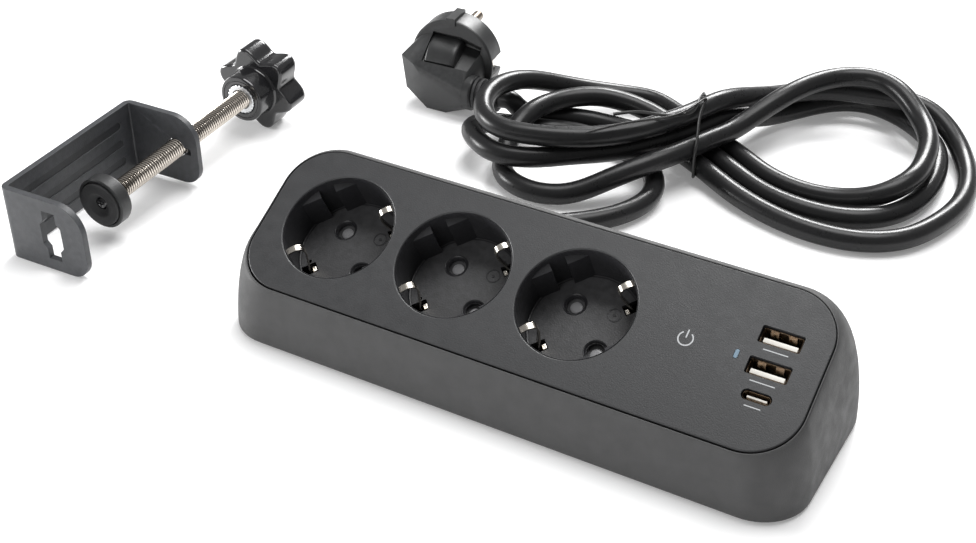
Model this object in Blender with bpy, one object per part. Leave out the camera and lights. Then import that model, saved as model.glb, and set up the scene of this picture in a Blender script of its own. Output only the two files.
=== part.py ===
"""Desk power strip with three earthed outlets, three USB ports, a coiled cable, and a loose desk clamp.

Frame: metres, +Z up.  The origin is on the desk under the middle of the top cover, +X runs along the
strip towards the USB ports and +Y towards the back, where the cable leaves.
"""

import math

import bmesh
import bpy
import numpy as np
from mathutils import Matrix, Vector

MM = 0.001
GAP = 0.3 * MM                      # clearance kept between neighbouring pieces

# Top cover ("deck"): a sloping plate.  Deck coordinates are (u, v, w): along, up the slope, outwards.
DECK_TILT = math.radians(28.9)
DECK_HEIGHT = 37.2 * MM             # height of the deck's middle line above the desk
DECK_HALF_LENGTH = 99.3 * MM
DECK_HALF_WIDTH = 28.35 * MM
DECK_CORNER = 16.8 * MM
DECK_THICKNESS = 2.4 * MM

# Base shell
SHELL_BOTTOM = 0.8 * MM             # the feet lift the shell by this much
SHELL_HALF_LENGTH = 104.6 * MM
SHELL_FRONT = -27.2 * MM
SHELL_BACK = 46.5 * MM
SHELL_CORNER_FRONT = 17.0 * MM
SHELL_CORNER_BACK = 15.5 * MM
SHELL_ROUNDNESS = 1.65              # exponent of the wall's profile: 1 is straight, 2 a quarter ellipse
RIM = 0.6 * MM                      # flat rim outside the seam
WALL = 2.2 * MM
FLOOR = 1.8 * MM
LEDGE = 1.8 * MM

# Outlets (earthed two-pin wells) along the deck
OUTLET_PITCH = 45.0 * MM
OUTLET_FIRST = -71.5 * MM
OUTLET_V = 0.8 * MM
WELL_RADIUS = 19.85 * MM
WELL_DEPTH = 16.5 * MM
INSERT_RADIUS = 19.6 * MM
INSERT_WALL = 1.2 * MM
INSERT_FLOOR = 2.0 * MM
PIN_OFFSET = 9.5 * MM
PIN_RADIUS = 2.4 * MM
PIN_LENGTH = 19.0 * MM
OUTLET_TURN = math.radians(135)     # direction of the pin line on the deck
GUIDE_FACE = 16.8 * MM
GUIDE_INNER = 2.75 * MM
GUIDE_OUTER = 10.7 * MM
SHUTTER_RADIUS = 13.0 * MM

# USB ports: centre on the deck, each shell stands on the charger board
USB_U = 83.4 * MM
USB_A_V = (10.4 * MM, -0.5 * MM)
USB_C_V = -10.0 * MM
USB_A_SIZE = (12.9 * MM, 5.4 * MM)
USB_C_SIZE = (9.0 * MM, 3.1 * MM)
USB_WALL = 0.3 * MM
USB_RECESS = 1.0 * MM
BOARD_TOP = -17.2 * MM
BOARD_THICKNESS = 1.6 * MM
LED_PLACE = (72.5 * MM, 1.4 * MM)
LED_SIZE = (1.3 * MM, 3.1 * MM)

# Cable and plug
CABLE_RADIUS = 4.2 * MM
CORE_RADIUS = 1.1 * MM
CABLE_EXIT = Vector((-40, 47, 14)) * MM
PLUG_FACE = Vector((-121.5, 170, 19.2)) * MM
PLUG_HEADING = math.radians(6)      # the pins point along +Y turned by this much to the left
PLUG_RADIUS = 19.0 * MM
PLUG_SPOUT = 15.0 * MM              # the spout's mouth, sideways from the plug's axis
PLUG_RELIEF_BACK = 19.0 * MM        # bend relief's axis behind the face
PLUG_RELIEF_DROP = 8.2 * MM         # and below the face's centre
RELIEF_RIBS = 4
RELIEF_RADIUS = 6.8 * MM
RELIEF_PITCH = 2.4 * MM

# Desk clamp, lying on its side beside the strip
CLAMP_PLACE = Vector((-200, -28, 0)) * MM
CLAMP_TURN = math.radians(1.7)
BRACKET_SPINE = 74.0 * MM
BRACKET_NEAR = 37.0 * MM
BRACKET_FAR = 34.0 * MM
BRACKET_WIDTH = 30.0 * MM
BRACKET_SHEET = 2.5 * MM
BRACKET_BEND = 3.2 * MM             # outer bend radius
SPINDLE_OFFSET = 23.5 * MM          # spindle axis from the spine's outer face
SPINDLE_RADIUS = 3.9 * MM
PAD_FACE = 25.5 * MM                # along the spine from the near flange's outer face
PAD_RADIUS = 10.2 * MM
PAD_DEPTH = 6.2 * MM
KNOB_HUB_FACE = 116.0 * MM
KNOB_HUB_LENGTH = 9.5 * MM
KNOB_HUB_RADIUS = 10.2 * MM
KNOB_RADIUS = 18.2 * MM
KNOB_VALLEY = 13.6 * MM
KNOB_THICKNESS = 13.0 * MM
KNOB_LOBES = 6
KNOB_TURN = math.radians(15)
# the knob is wider than the bracket, so it props up that end
CLAMP_PROP = math.asin((KNOB_RADIUS * math.cos(KNOB_TURN) + 0.2 * MM - BRACKET_WIDTH / 2)
                       / (KNOB_HUB_FACE + KNOB_HUB_LENGTH + KNOB_THICKNESS))

COLOURS = {
    "shell_plastic": ((0.055, 0.057, 0.060), 0.62, 0.0),
    "cover_plastic": ((0.060, 0.063, 0.068), 0.50, 0.0),
    "insert_plastic": ((0.016, 0.016, 0.017), 0.55, 0.0),
    "shutter_plastic": ((0.16, 0.16, 0.17), 0.5, 0.0),
    "white_plastic": ((0.82, 0.80, 0.76), 0.4, 0.0),
    "light_pipe": ((0.45, 0.60, 0.75), 0.25, 0.0),
    "led": ((0.75, 0.85, 0.95), 0.3, 0.0),
    "board": ((0.03, 0.16, 0.08), 0.5, 0.0),
    "component": ((0.09, 0.08, 0.05), 0.5, 0.0),
    "cable_jacket": ((0.020, 0.020, 0.021), 0.35, 0.0),
    "core_brown": ((0.22, 0.09, 0.04), 0.45, 0.0),
    "core_blue": ((0.04, 0.12, 0.42), 0.45, 0.0),
    "core_green": ((0.20, 0.42, 0.06), 0.45, 0.0),
    "plug_plastic": ((0.035, 0.036, 0.037), 0.48, 0.0),
    "rubber": ((0.025, 0.025, 0.026), 0.75, 0.0),
    "nickel": ((0.72, 0.69, 0.64), 0.25, 1.0),
    "brass": ((0.72, 0.55, 0.28), 0.3, 1.0),
    "bronze_shell": ((0.46, 0.36, 0.24), 0.3, 1.0),
    "zinc": ((0.62, 0.63, 0.64), 0.35, 1.0),
    "spring_steel": ((0.55, 0.55, 0.56), 0.3, 1.0),
    "powder_coat": ((0.050, 0.053, 0.058), 0.55, 0.4),
    "knob_plastic": ((0.012, 0.012, 0.013), 0.18, 0.0),
    "tie_wire": ((0.015, 0.015, 0.015), 0.4, 0.0),
}


# ---------------------------------------------------------------- helpers

def clear_scene():
    for item in list(bpy.data.objects):
        bpy.data.objects.remove(item, do_unlink=True)


def material(name):
    made = bpy.data.materials.get(name)
    if made is None:
        colour, roughness, metallic = COLOURS[name]
        made = bpy.data.materials.new(name)
        made.use_nodes = True
        shader = made.node_tree.nodes["Principled BSDF"]
        shader.inputs["Base Color"].default_value = (*colour, 1.0)
        shader.inputs["Roughness"].default_value = roughness
        shader.inputs["Metallic"].default_value = metallic
    return made


def empty(name, place, rotation=(0, 0, 0), parent=None):
    made = bpy.data.objects.new(name, None)
    made.location = place
    made.rotation_euler = rotation
    made.parent = parent
    bpy.context.collection.objects.link(made)
    return made


def solid(name, shapes, finish=None, parent=None, place=(0, 0, 0), rotation=(0, 0, 0)):
    """One object from a list of (points, faces) shapes; without a finish it is a cutter or guide."""
    work = bmesh.new()
    for points, faces in shapes:
        made = [work.verts.new(p) for p in points]
        for face in faces:
            work.faces.new([made[i] for i in face])
    bmesh.ops.recalc_face_normals(work, faces=work.faces)
    mesh = bpy.data.meshes.new(name)
    work.to_mesh(mesh)
    work.free()
    item = bpy.data.objects.new(name, mesh)
    item.parent = parent
    item.location = place
    item.rotation_euler = rotation
    bpy.context.collection.objects.link(item)
    if finish is None:
        item.hide_render = True
        item.display_type = "WIRE"
    else:
        mesh.materials.append(material(finish))
        mesh.shade_smooth()
        mesh.set_sharp_from_angle(angle=math.radians(32))
    return item


def combine(item, tool, operation):
    change = item.modifiers.new(tool.name, "BOOLEAN")
    change.operation = operation
    change.solver = "EXACT"
    change.object = tool


def loft(rings):
    """A closed solid through rings with equal numbers of points, capped at both ends."""
    count = len(rings[0])
    points = [p for ring in rings for p in ring]
    faces = [tuple(range(count)), tuple(range(len(points) - count, len(points)))]
    for level in range(len(rings) - 1):
        start = level * count
        for i in range(count):
            j = (i + 1) % count
            faces.append((start + i, start + j, start + count + j, start + count + i))
    return points, faces


def loft_closed(rings):
    """A solid whose last ring meets its first, such as a tube with a bore."""
    count = len(rings[0])
    points = [p for ring in rings for p in ring]
    faces = []
    for level in range(len(rings)):
        start = level * count
        after = (level + 1) % len(rings) * count
        for i in range(count):
            j = (i + 1) % count
            faces.append((start + i, start + j, after + j, after + i))
    return points, faces


def prism(outline, low, high):
    return loft([[(x, y, low) for x, y in outline], [(x, y, high) for x, y in outline]])


def box(low, high):
    (x0, y0, z0), (x1, y1, z1) = low, high
    return prism([(x0, y0), (x1, y0), (x1, y1), (x0, y1)], z0, z1)


def circle(radius, steps, centre=(0, 0)):
    turns = [math.tau * k / steps for k in range(steps)]
    return [(centre[0] + radius * math.cos(t), centre[1] + radius * math.sin(t)) for t in turns]


def turned(profile, steps, bored=False):
    """A solid of revolution about Z from (radius, height) pairs; a bored one has a closed profile."""
    rings = [[(x, y, z) for x, y in circle(r, steps)] for r, z in profile]
    return loft_closed(rings) if bored else loft(rings)


def hull(points):
    """The convex solid stretched over a set of points."""
    work = bmesh.new()
    for p in points:
        work.verts.new(p)
    made = bmesh.ops.convex_hull(work, input=work.verts, use_existing_faces=False)
    loose = {v for v in made["geom_interior"] + made["geom_unused"] if isinstance(v, bmesh.types.BMVert)}
    bmesh.ops.delete(work, geom=list(loose), context="VERTS")
    work.verts.index_update()
    shape = [tuple(v.co) for v in work.verts], [tuple(v.index for v in f.verts) for f in work.faces]
    work.free()
    return shape


def moved(shape, matrix):
    points, faces = shape
    return [tuple(matrix @ Vector(p)) for p in points], faces


def shifted(shape, offset):
    return moved(shape, Matrix.Translation(offset))


def rounded_box(half_x, front, back, radius_front, radius_back, steps):
    """Outline from y = front to y = back with a corner radius at each end, anticlockwise from +X."""
    corners = ((1, back, radius_back, -1, 0), (-1, back, radius_back, -1, 90),
               (-1, front, radius_front, 1, 180), (1, front, radius_front, 1, 270))
    outline = []
    for side, edge, radius, inward, start in corners:
        for k in range(steps + 1):
            angle = math.radians(start + 90 * k / steps)
            outline.append((side * (half_x - radius) + radius * math.cos(angle),
                            edge + inward * radius + radius * math.sin(angle)))
    return outline


def rounded_rect(half_x, half_y, radius, steps, centre=(0, 0)):
    plain = rounded_box(half_x, -half_y, half_y, radius, radius, steps)
    return [(x + centre[0], y + centre[1]) for x, y in plain]


def smooth_path(knots, spacing):
    """Points about one spacing apart on the natural cubic spline through the knots."""
    knots = np.array(knots, float)
    lengths = np.linalg.norm(np.diff(knots, axis=0), axis=1)
    t = np.concatenate(([0.0], np.cumsum(lengths)))
    n = len(t)
    system = np.zeros((n, n))
    right = np.zeros((n, 3))
    system[0, 0] = system[-1, -1] = 1.0
    for i in range(1, n - 1):
        before, after = lengths[i - 1], lengths[i]
        system[i, i - 1:i + 2] = before, 2 * (before + after), after
        right[i] = 6 * ((knots[i + 1] - knots[i]) / after - (knots[i] - knots[i - 1]) / before)
    bend = np.linalg.solve(system, right)
    path = []
    for s in np.linspace(0, t[-1], max(2, round(t[-1] / spacing) + 1)):
        i = min(max(int(np.searchsorted(t, s)) - 1, 0), n - 2)
        h, a, b = lengths[i], t[i + 1] - s, s - t[i]
        path.append(bend[i] * a ** 3 / (6 * h) + bend[i + 1] * b ** 3 / (6 * h)
                    + (knots[i] / h - bend[i] * h / 6) * a + (knots[i + 1] / h - bend[i + 1] * h / 6) * b)
    return [Vector(p) for p in path]


def swept(path, radius, sides):
    """A round bar along a path, its section carried along without twisting."""
    rings = []
    across = None
    for i, point in enumerate(path):
        ahead = path[min(i + 1, len(path) - 1)] - path[max(i - 1, 0)]
        ahead.normalize()
        if across is None:
            across = ahead.orthogonal().normalized()
        across = (across - ahead * across.dot(ahead)).normalized()
        other = ahead.cross(across)
        rings.append([tuple(point + across * x + other * y) for x, y in circle(radius, sides)])
    return loft(rings)


def deck_point(u, v, w=0.0):
    return Vector((u, v * math.cos(DECK_TILT) - w * math.sin(DECK_TILT),
                   DECK_HEIGHT + v * math.sin(DECK_TILT) + w * math.cos(DECK_TILT)))


# ---------------------------------------------------------------- housing

CORNER_STEPS = 5
WALL_STEPS = 6
SCREW_SPOTS = ((-49, -18.5), (-4, -18.5), (52, -17), (52, 19))
FOOT_SPOTS = ((0, 0), (-88, -16), (88, -16), (-88, 33), (88, 33))
BOSS_TOP = 9.0 * MM
POCKET_HEIGHT = 4.2 * MM            # room under the base for the clamp's near flange
POCKET_X = -4.0 * MM
POCKET_FRONT = 27.0 * MM
CORD_POST_X = 8.2 * MM
CORD_POST_Y = 31.0 * MM
CORD_BRIDGE_Z = 18.6 * MM


def deck_outline(grow):
    return rounded_rect(DECK_HALF_LENGTH + grow, DECK_HALF_WIDTH + grow, DECK_CORNER + grow, CORNER_STEPS)


def shell_outline(inset):
    return rounded_box(SHELL_HALF_LENGTH - inset, SHELL_FRONT + inset, SHELL_BACK - inset,
                       SHELL_CORNER_FRONT - inset, SHELL_CORNER_BACK - inset, CORNER_STEPS)


def wall_rings(inset, low, grow, w):
    """Rings up a wall, from the bottom outline to the deck outline; steep below, rounding in above."""
    bottom = shell_outline(inset)
    top = [deck_point(u, v, w) for u, v in deck_outline(grow)]
    rings = []
    for k in range(WALL_STEPS + 1):
        turn = math.radians(90) * k / WALL_STEPS
        rise = math.sin(turn) ** (2 / SHELL_ROUNDNESS)
        lean = 1 - max(math.cos(turn), 0.0) ** (2 / SHELL_ROUNDNESS)
        rings.append([(bx + (t.x - bx) * lean, by + (t.y - by) * lean, low + (t.z - low) * rise)
                      for (bx, by), t in zip(bottom, top)])
    return rings


def build_base_shell():
    seam = DECK_THICKNESS + GAP
    outer = wall_rings(0, SHELL_BOTTOM + RIM, RIM, 0)
    foot_ring = [(x, y, SHELL_BOTTOM) for x, y in shell_outline(RIM)]
    rim_ring = [tuple(deck_point(u, v)) for u, v in deck_outline(0.2 * MM)]
    groove_ring = [tuple(deck_point(u, v, -seam)) for u, v in deck_outline(0.2 * MM)]
    inner = wall_rings(WALL, SHELL_BOTTOM + FLOOR, -LEDGE, -seam)
    shell = solid("base_shell", [loft([foot_ring] + outer + [rim_ring, groove_ring] + inner[::-1])],
                  "shell_plastic")

    floor_top = SHELL_BOTTOM + FLOOR
    sunk = floor_top - 0.5 * MM
    pocket_half = BRACKET_WIDTH / 2 + 1 * MM
    ceiling = SHELL_BOTTOM + POCKET_HEIGHT
    back = SHELL_BACK + 5 * MM
    added = [prism(circle(3.4 * MM, 12, (x * MM, y * MM)), sunk, BOSS_TOP) for x, y in SCREW_SPOTS]
    added += [prism(circle(3.2 * MM, 12, (CABLE_EXIT.x + side * CORD_POST_X, CORD_POST_Y)),
                    sunk, CORD_BRIDGE_Z - GAP) for side in (-1, 1)]
    added.append(box((CABLE_EXIT.x - 4 * MM, CORD_POST_Y - 3 * MM, sunk),
                     (CABLE_EXIT.x + 4 * MM, CORD_POST_Y + 3 * MM, CABLE_EXIT.z - CABLE_RADIUS - GAP)))
    added.append(box((POCKET_X - pocket_half - WALL, POCKET_FRONT - WALL, sunk),
                     (POCKET_X + pocket_half + WALL, SHELL_BACK - 1.5 * MM, ceiling + WALL)))
    combine(shell, solid("shell_bosses", added), "UNION")

    removed = [prism(circle(1.9 * MM, 10, (x * MM, y * MM)), 0, BOSS_TOP + 1 * MM) for x, y in SCREW_SPOTS]
    removed += [prism(circle(3.4 * MM, 16, (x * MM, y * MM)), 0, 2.4 * MM) for x, y in SCREW_SPOTS]
    combine(shell, solid("shell_screw_holes", removed[:4]), "DIFFERENCE")
    combine(shell, solid("shell_screw_sinks", removed[4:]), "DIFFERENCE")
    feet = [prism(circle(4.8 * MM, 18, (x * MM, y * MM)), 0, SHELL_BOTTOM + 1 * MM) for x, y in FOOT_SPOTS]
    cord_holes = [prism(circle(1.8 * MM, 10, (CABLE_EXIT.x + side * CORD_POST_X, CORD_POST_Y)),
                        8 * MM, CORD_BRIDGE_Z) for side in (-1, 1)]
    pocket = box((POCKET_X - pocket_half, POCKET_FRONT, -1 * MM), (POCKET_X + pocket_half, back, ceiling))
    to_y = Matrix.Rotation(math.radians(-90), 4, "X")
    exit_hole = shifted(moved(prism(circle(6.4 * MM, 20), -8 * MM, 6 * MM), to_y), CABLE_EXIT)
    combine(shell, solid("shell_openings", feet + cord_holes + [pocket, exit_hole]), "DIFFERENCE")

    stud_y = POCKET_FRONT + 11 * MM
    neck = box((POCKET_X - 2.5 * MM, stud_y - 2.5 * MM, 1.6 * MM),
               (POCKET_X + 2.5 * MM, stud_y + 2.5 * MM, ceiling + 0.5 * MM))
    head = box((POCKET_X - 4.2 * MM, stud_y - 2.5 * MM, 1 * MM),
               (POCKET_X + 4.2 * MM, stud_y + 2.5 * MM, 2.2 * MM))
    combine(shell, solid("stud_neck", [neck]), "UNION")
    combine(shell, solid("stud_head", [head]), "UNION")


def build_top_cover(deck):
    chamfer = 0.4 * MM
    cover = solid("top_cover", [loft([
        [(x, y, -DECK_THICKNESS) for x, y in deck_outline(-0.2 * MM)],
        [(x, y, -chamfer) for x, y in deck_outline(-0.2 * MM)],
        [(x, y, 0) for x, y in deck_outline(-0.2 * MM - chamfer)]])], "cover_plastic", deck)
    level = Matrix.Rotation(-DECK_TILT, 4, "X")
    posts = []
    for x, y in SCREW_SPOTS:
        top = y * math.tan(DECK_TILT) * MM + DECK_HEIGHT - 1.5 * MM
        post = prism(circle(3.0 * MM, 12, (x * MM, y * MM)), BOSS_TOP + GAP, top)
        posts.append(moved(post, level @ Matrix.Translation((0, 0, -DECK_HEIGHT))))
    combine(cover, solid("cover_posts", posts, parent=deck), "UNION")

    above, below = 2 * MM, -6 * MM
    wells = []
    for k in range(3):
        centre = (OUTLET_FIRST + k * OUTLET_PITCH, OUTLET_V)
        profile = ((WELL_RADIUS, below), (WELL_RADIUS, -0.5 * MM), (WELL_RADIUS + 0.5 * MM, 0),
                   (WELL_RADIUS + 0.5 * MM, above))
        wells.append(shifted(turned(profile, 40), (*centre, 0)))
    combine(cover, solid("cover_wells", wells, parent=deck), "DIFFERENCE")
    ports = []
    for v in USB_A_V:
        ports.append(prism(rounded_rect(USB_A_SIZE[0] / 2 + 0.35 * MM, USB_A_SIZE[1] / 2 + GAP, 0.4 * MM, 2,
                                        (USB_U, v)), below, above))
    half = (USB_C_SIZE[0] / 2 + 0.35 * MM, USB_C_SIZE[1] / 2 + GAP)
    ports.append(prism(rounded_rect(*half, half[1] - 0.05 * MM, 5, (USB_U, USB_C_V)), below, above))
    half = (LED_SIZE[0] / 2 + GAP, LED_SIZE[1] / 2 + GAP)
    ports.append(prism(rounded_rect(*half, half[0] - 0.05 * MM, 5, LED_PLACE), below, above))
    to_posts = level @ Matrix.Translation((0, 0, -DECK_HEIGHT))
    for x, y in SCREW_SPOTS:
        bore = prism(circle(1.8 * MM, 10, (x * MM, y * MM)), BOSS_TOP - 1 * MM, 17 * MM)
        ports.append(moved(bore, to_posts))
    combine(cover, solid("cover_ports", ports, parent=deck), "DIFFERENCE")


def build_screw(name, place, head_radius, head_height, length, up):
    """A pan-head screw at its head's underside; up is +1 if the shank points up."""
    profile = ((head_radius * 0.75, -head_height), (head_radius, -head_height * 0.5), (head_radius, 0),
               (1.5 * MM, 0), (1.5 * MM, length - 0.8 * MM), (0.7 * MM, length))
    item = solid(name, [turned(profile, 8)], "nickel", place=place)
    if up < 0:
        item.rotation_euler = (math.pi, 0, 0)


def build_fasteners():
    for k, (x, y) in enumerate(SCREW_SPOTS, 1):
        build_screw(f"cover_screw_{k}", Vector((x, y, 2.1)) * MM, 2.9 * MM, 1.2 * MM, 12 * MM, 1)
    for k, (x, y) in enumerate(FOOT_SPOTS, 1):
        profile = ((4.0 * MM, 0), (4.4 * MM, 0.4 * MM), (4.4 * MM, SHELL_BOTTOM + 0.7 * MM))
        solid(f"rubber_foot_{k}", [turned(profile, 18)], "rubber", place=(x * MM, y * MM, 0))


# ---------------------------------------------------------------- outlets

def sector(inner, outer, start, end, steps):
    """A ring sector between two radii; angles in degrees."""
    angles = [math.radians(start + (end - start) * k / steps) for k in range(steps + 1)]
    arc = [(outer * math.cos(a), outer * math.sin(a)) for a in angles]
    back = [(inner * math.cos(a), inner * math.sin(a)) for a in reversed(angles)]
    return arc + back


def guide_block(side, wing):
    """One of the four keying blocks on the well's wall."""
    edge = INSERT_RADIUS + INSERT_WALL / 2
    start, end = (math.asin(b / edge) for b in (GUIDE_INNER, GUIDE_OUTER))
    arc = [start + (end - start) * k / 4 for k in range(5)]
    outline = [(GUIDE_FACE, GUIDE_OUTER), (GUIDE_FACE, GUIDE_INNER)]
    outline += [(edge * math.cos(a), edge * math.sin(a)) for a in arc]
    placed = [(side * a, wing * b) for a, b in outline]
    return prism(placed, -WELL_DEPTH - 0.5 * MM, -3.4 * MM)


def build_outlet(number, deck):
    centre = (OUTLET_FIRST + (number - 1) * OUTLET_PITCH, OUTLET_V, 0)
    outlet = empty(f"outlet_{number}", centre, (0, 0, OUTLET_TURN), deck)
    rim = -DECK_THICKNESS - GAP
    floor = -WELL_DEPTH
    under = floor - INSERT_FLOOR
    outer = INSERT_RADIUS + INSERT_WALL
    cup = turned(((outer, under), (outer, rim), (INSERT_RADIUS, rim), (INSERT_RADIUS, floor)), 40)
    insert = solid(f"socket_insert_{number}", [cup], "insert_plastic", outlet)
    blocks = [guide_block(side, wing) for side in (-1, 1) for wing in (-1, 1)]
    blocks.append(prism(circle(2.0 * MM, 12), under - 2.8 * MM, under + 0.5 * MM))
    combine(insert, solid(f"insert_blocks_{number}", blocks, parent=outlet), "UNION")
    holes = [prism(circle(2.8 * MM, 18, (side * PIN_OFFSET, 0)), under - 1 * MM, floor + 1 * MM)
             for side in (-1, 1)]
    for side in (-1, 1):
        low, high = sorted((side * 13.6 * MM, side * (INSERT_RADIUS - 0.5 * MM)))
        holes.append(prism([(-2.4 * MM, low), (2.4 * MM, low), (2.4 * MM, high), (-2.4 * MM, high)],
                           under - 1 * MM, floor + 1 * MM))
    combine(insert, solid(f"insert_holes_{number}", holes, parent=outlet), "DIFFERENCE")

    shutter_top = under - 0.4 * MM
    wings = sector(3.6 * MM, SHUTTER_RADIUS, -20, 20, 6)
    hub = turned(((2.4 * MM, 0), (4.2 * MM, 0), (4.2 * MM, -1.9 * MM), (2.4 * MM, -1.9 * MM)), 24, True)
    shutter = solid(f"shutter_{number}", [shifted(hub, (0, 0, shutter_top))], "shutter_plastic", outlet)
    both = [prism(line, shutter_top - 1.6 * MM, shutter_top - 0.2 * MM)
            for line in (wings, [(-x, -y) for x, y in wings])]
    combine(shutter, solid(f"shutter_wings_{number}", both, parent=outlet), "UNION")

    turns, length, coil = 5, 6.4 * MM, 0.65 * MM
    steps = turns * 6
    helix = [Vector((-length / 2 + length * k / steps, coil * math.cos(math.tau * k / 6),
                     coil * math.sin(math.tau * k / 6))) for k in range(steps + 1)]
    spring_place = Matrix.Rotation(math.radians(20), 4, "Z") @ Matrix.Translation(
        (0, 9.0 * MM, shutter_top - 1.0 * MM))
    solid(f"shutter_spring_{number}", [moved(swept(helix, 0.18 * MM, 4), spring_place)],
          "spring_steel", outlet)

    build_earth_clip(number, outlet)


def bent_strip(line, thickness, low, high):
    """A flat strip bent along a line of points, thickened to the line's left."""
    rings = []
    for i, p in enumerate(line):
        before = Vector(p) - Vector(line[max(i - 1, 0)])
        after = Vector(line[min(i + 1, len(line) - 1)]) - Vector(p)
        normals = [Vector((-d.y, d.x)).normalized() for d in (before, after) if d.length > 0]
        middle = sum(normals, Vector((0, 0))).normalized()
        q = Vector(p) + middle * thickness / middle.dot(normals[0])
        rings.append([(p[0], p[1], low), (p[0], p[1], high), (q.x, q.y, high), (q.x, q.y, low)])
    return loft(rings)


def build_earth_clip(number, outlet):
    """A spring strip: both arms stand in the well and join under the shutter."""
    low = -WELL_DEPTH - INSERT_FLOOR - 4.2 * MM
    half = [(18.3, -4.8), (17.9, -3.6), (17.0, -3.2), (15.8, -3.5), (15.2, -4.6), (15.9, -9.5), (17.0, -15)]
    arm = [(b * MM, w * MM) for b, w in half] + [(17.0 * MM, low)]
    line = [(-b, w) for b, w in arm] + [(b, w) for b, w in reversed(arm)]
    upright = Matrix.Rotation(math.radians(90), 4, "X")
    along_b = Matrix.Rotation(math.radians(90), 4, "Z")
    strip = moved(bent_strip(line, 0.7 * MM, -1.5 * MM, 1.5 * MM), along_b @ upright)
    solid(f"earth_clip_{number}", [strip], "nickel", outlet)


# ---------------------------------------------------------------- conductors and charger

BUSBAR_W = -24.4 * MM
CONTACT_BACK = -31.0 * MM


def outlet_u(number):
    return OUTLET_FIRST + (number - 1) * OUTLET_PITCH


def build_busbar(name, deck, sign):
    """A strip with a pair of hanging leaves at each pin; sign +1 is the live side."""
    offset = PIN_OFFSET * math.sin(math.radians(45))
    v = OUTLET_V + sign * offset
    pins = [outlet_u(k) - sign * offset for k in (1, 2, 3)]
    low, high = BUSBAR_W - 0.4 * MM, BUSBAR_W + 0.4 * MM
    strip = solid(name, [box((pins[0] - 6 * MM, v - 4.4 * MM, low), (pins[-1] + 6 * MM, v + 4.4 * MM, high))],
                  "brass", deck)
    leaves = []
    for u in pins:
        for side in (-1, 1):
            inner, outer = sorted((u + side * 3.0 * MM, u + side * 3.7 * MM))
            leaves.append(box((inner, v - 2 * MM, CONTACT_BACK), (outer, v + 2 * MM, BUSBAR_W)))
    combine(strip, solid(f"{name}_leaves", leaves, parent=deck), "UNION")
    holes = [prism(circle(2.8 * MM, 16, (u, v)), low - 1 * MM, high + 1 * MM) for u in pins]
    combine(strip, solid(f"{name}_holes", holes, parent=deck), "DIFFERENCE")


def build_conductors(deck):
    build_busbar("live_busbar", deck, 1)
    build_busbar("neutral_busbar", deck, -1)
    top = -WELL_DEPTH - INSERT_FLOOR - 4.2 * MM - GAP
    ends = outlet_u(1) - 6 * MM, outlet_u(3) + 6 * MM
    solid("earth_busbar", [box((ends[0], OUTLET_V - 1.5 * MM, top - 0.8 * MM),
                               (ends[1], OUTLET_V + 1.5 * MM, top))], "brass", deck)


def build_charger(deck):
    board_back = BOARD_TOP - BOARD_THICKNESS
    solid("usb_board", [box((66.5 * MM, -17 * MM, board_back), (96 * MM, 17 * MM, BOARD_TOP))],
          "board", deck)
    bottom = BOARD_TOP + GAP
    for number, v in enumerate(USB_A_V, 1):
        half = [s / 2 for s in USB_A_SIZE]
        outer = rounded_rect(*half, 0.5 * MM, 2, (USB_U, v))
        inner = rounded_rect(half[0] - USB_WALL, half[1] - USB_WALL, 0.25 * MM, 2, (USB_U, v))
        solid(f"usb_a_shell_{number}", [port_tube(outer, inner, bottom)], "bronze_shell", deck)
        tongue = [box((USB_U - 5.6 * MM, v - 1.95 * MM, bottom + 0.5 * MM),
                      (USB_U + 5.6 * MM, v - 0.25 * MM, -2.2 * MM))]
        solid(f"usb_a_tongue_{number}", tongue, "white_plastic", deck)
    half = [s / 2 for s in USB_C_SIZE]
    outer = rounded_rect(*half, half[1] - 0.05 * MM, 5, (USB_U, USB_C_V))
    inner = rounded_rect(half[0] - USB_WALL, half[1] - USB_WALL, half[1] - USB_WALL - 0.05 * MM, 5,
                         (USB_U, USB_C_V))
    solid("usb_c_shell", [port_tube(outer, inner, bottom)], "bronze_shell", deck)
    solid("usb_c_tongue", [box((USB_U - 3.4 * MM, USB_C_V - 0.55 * MM, bottom + 0.5 * MM),
                               (USB_U + 3.4 * MM, USB_C_V + 0.15 * MM, -2.0 * MM))], "white_plastic", deck)

    pill = rounded_rect(LED_SIZE[0] / 2, LED_SIZE[1] / 2, LED_SIZE[0] / 2 - 0.05 * MM, 5, LED_PLACE)
    solid("light_pipe", [prism(pill, -15 * MM, 0.1 * MM)], "light_pipe", deck)
    u, v = LED_PLACE
    solid("status_led", [box((u - 1.2 * MM, v - 1.6 * MM, bottom), (u + 1.2 * MM, v + 1.6 * MM, -15.4 * MM))],
          "led", deck)
    top = board_back - GAP
    core = rounded_rect(7.5 * MM, 7 * MM, 1 * MM, 2, (84 * MM, 7 * MM))
    solid("transformer", [prism(core, -29 * MM, top)], "component", deck)


def port_tube(outer, inner, bottom):
    top = -USB_RECESS
    rings = [[(x, y, z) for x, y in line] for line, z in
             ((outer, bottom), (outer, top), (inner, top), (inner, bottom))]
    return loft_closed(rings)


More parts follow.
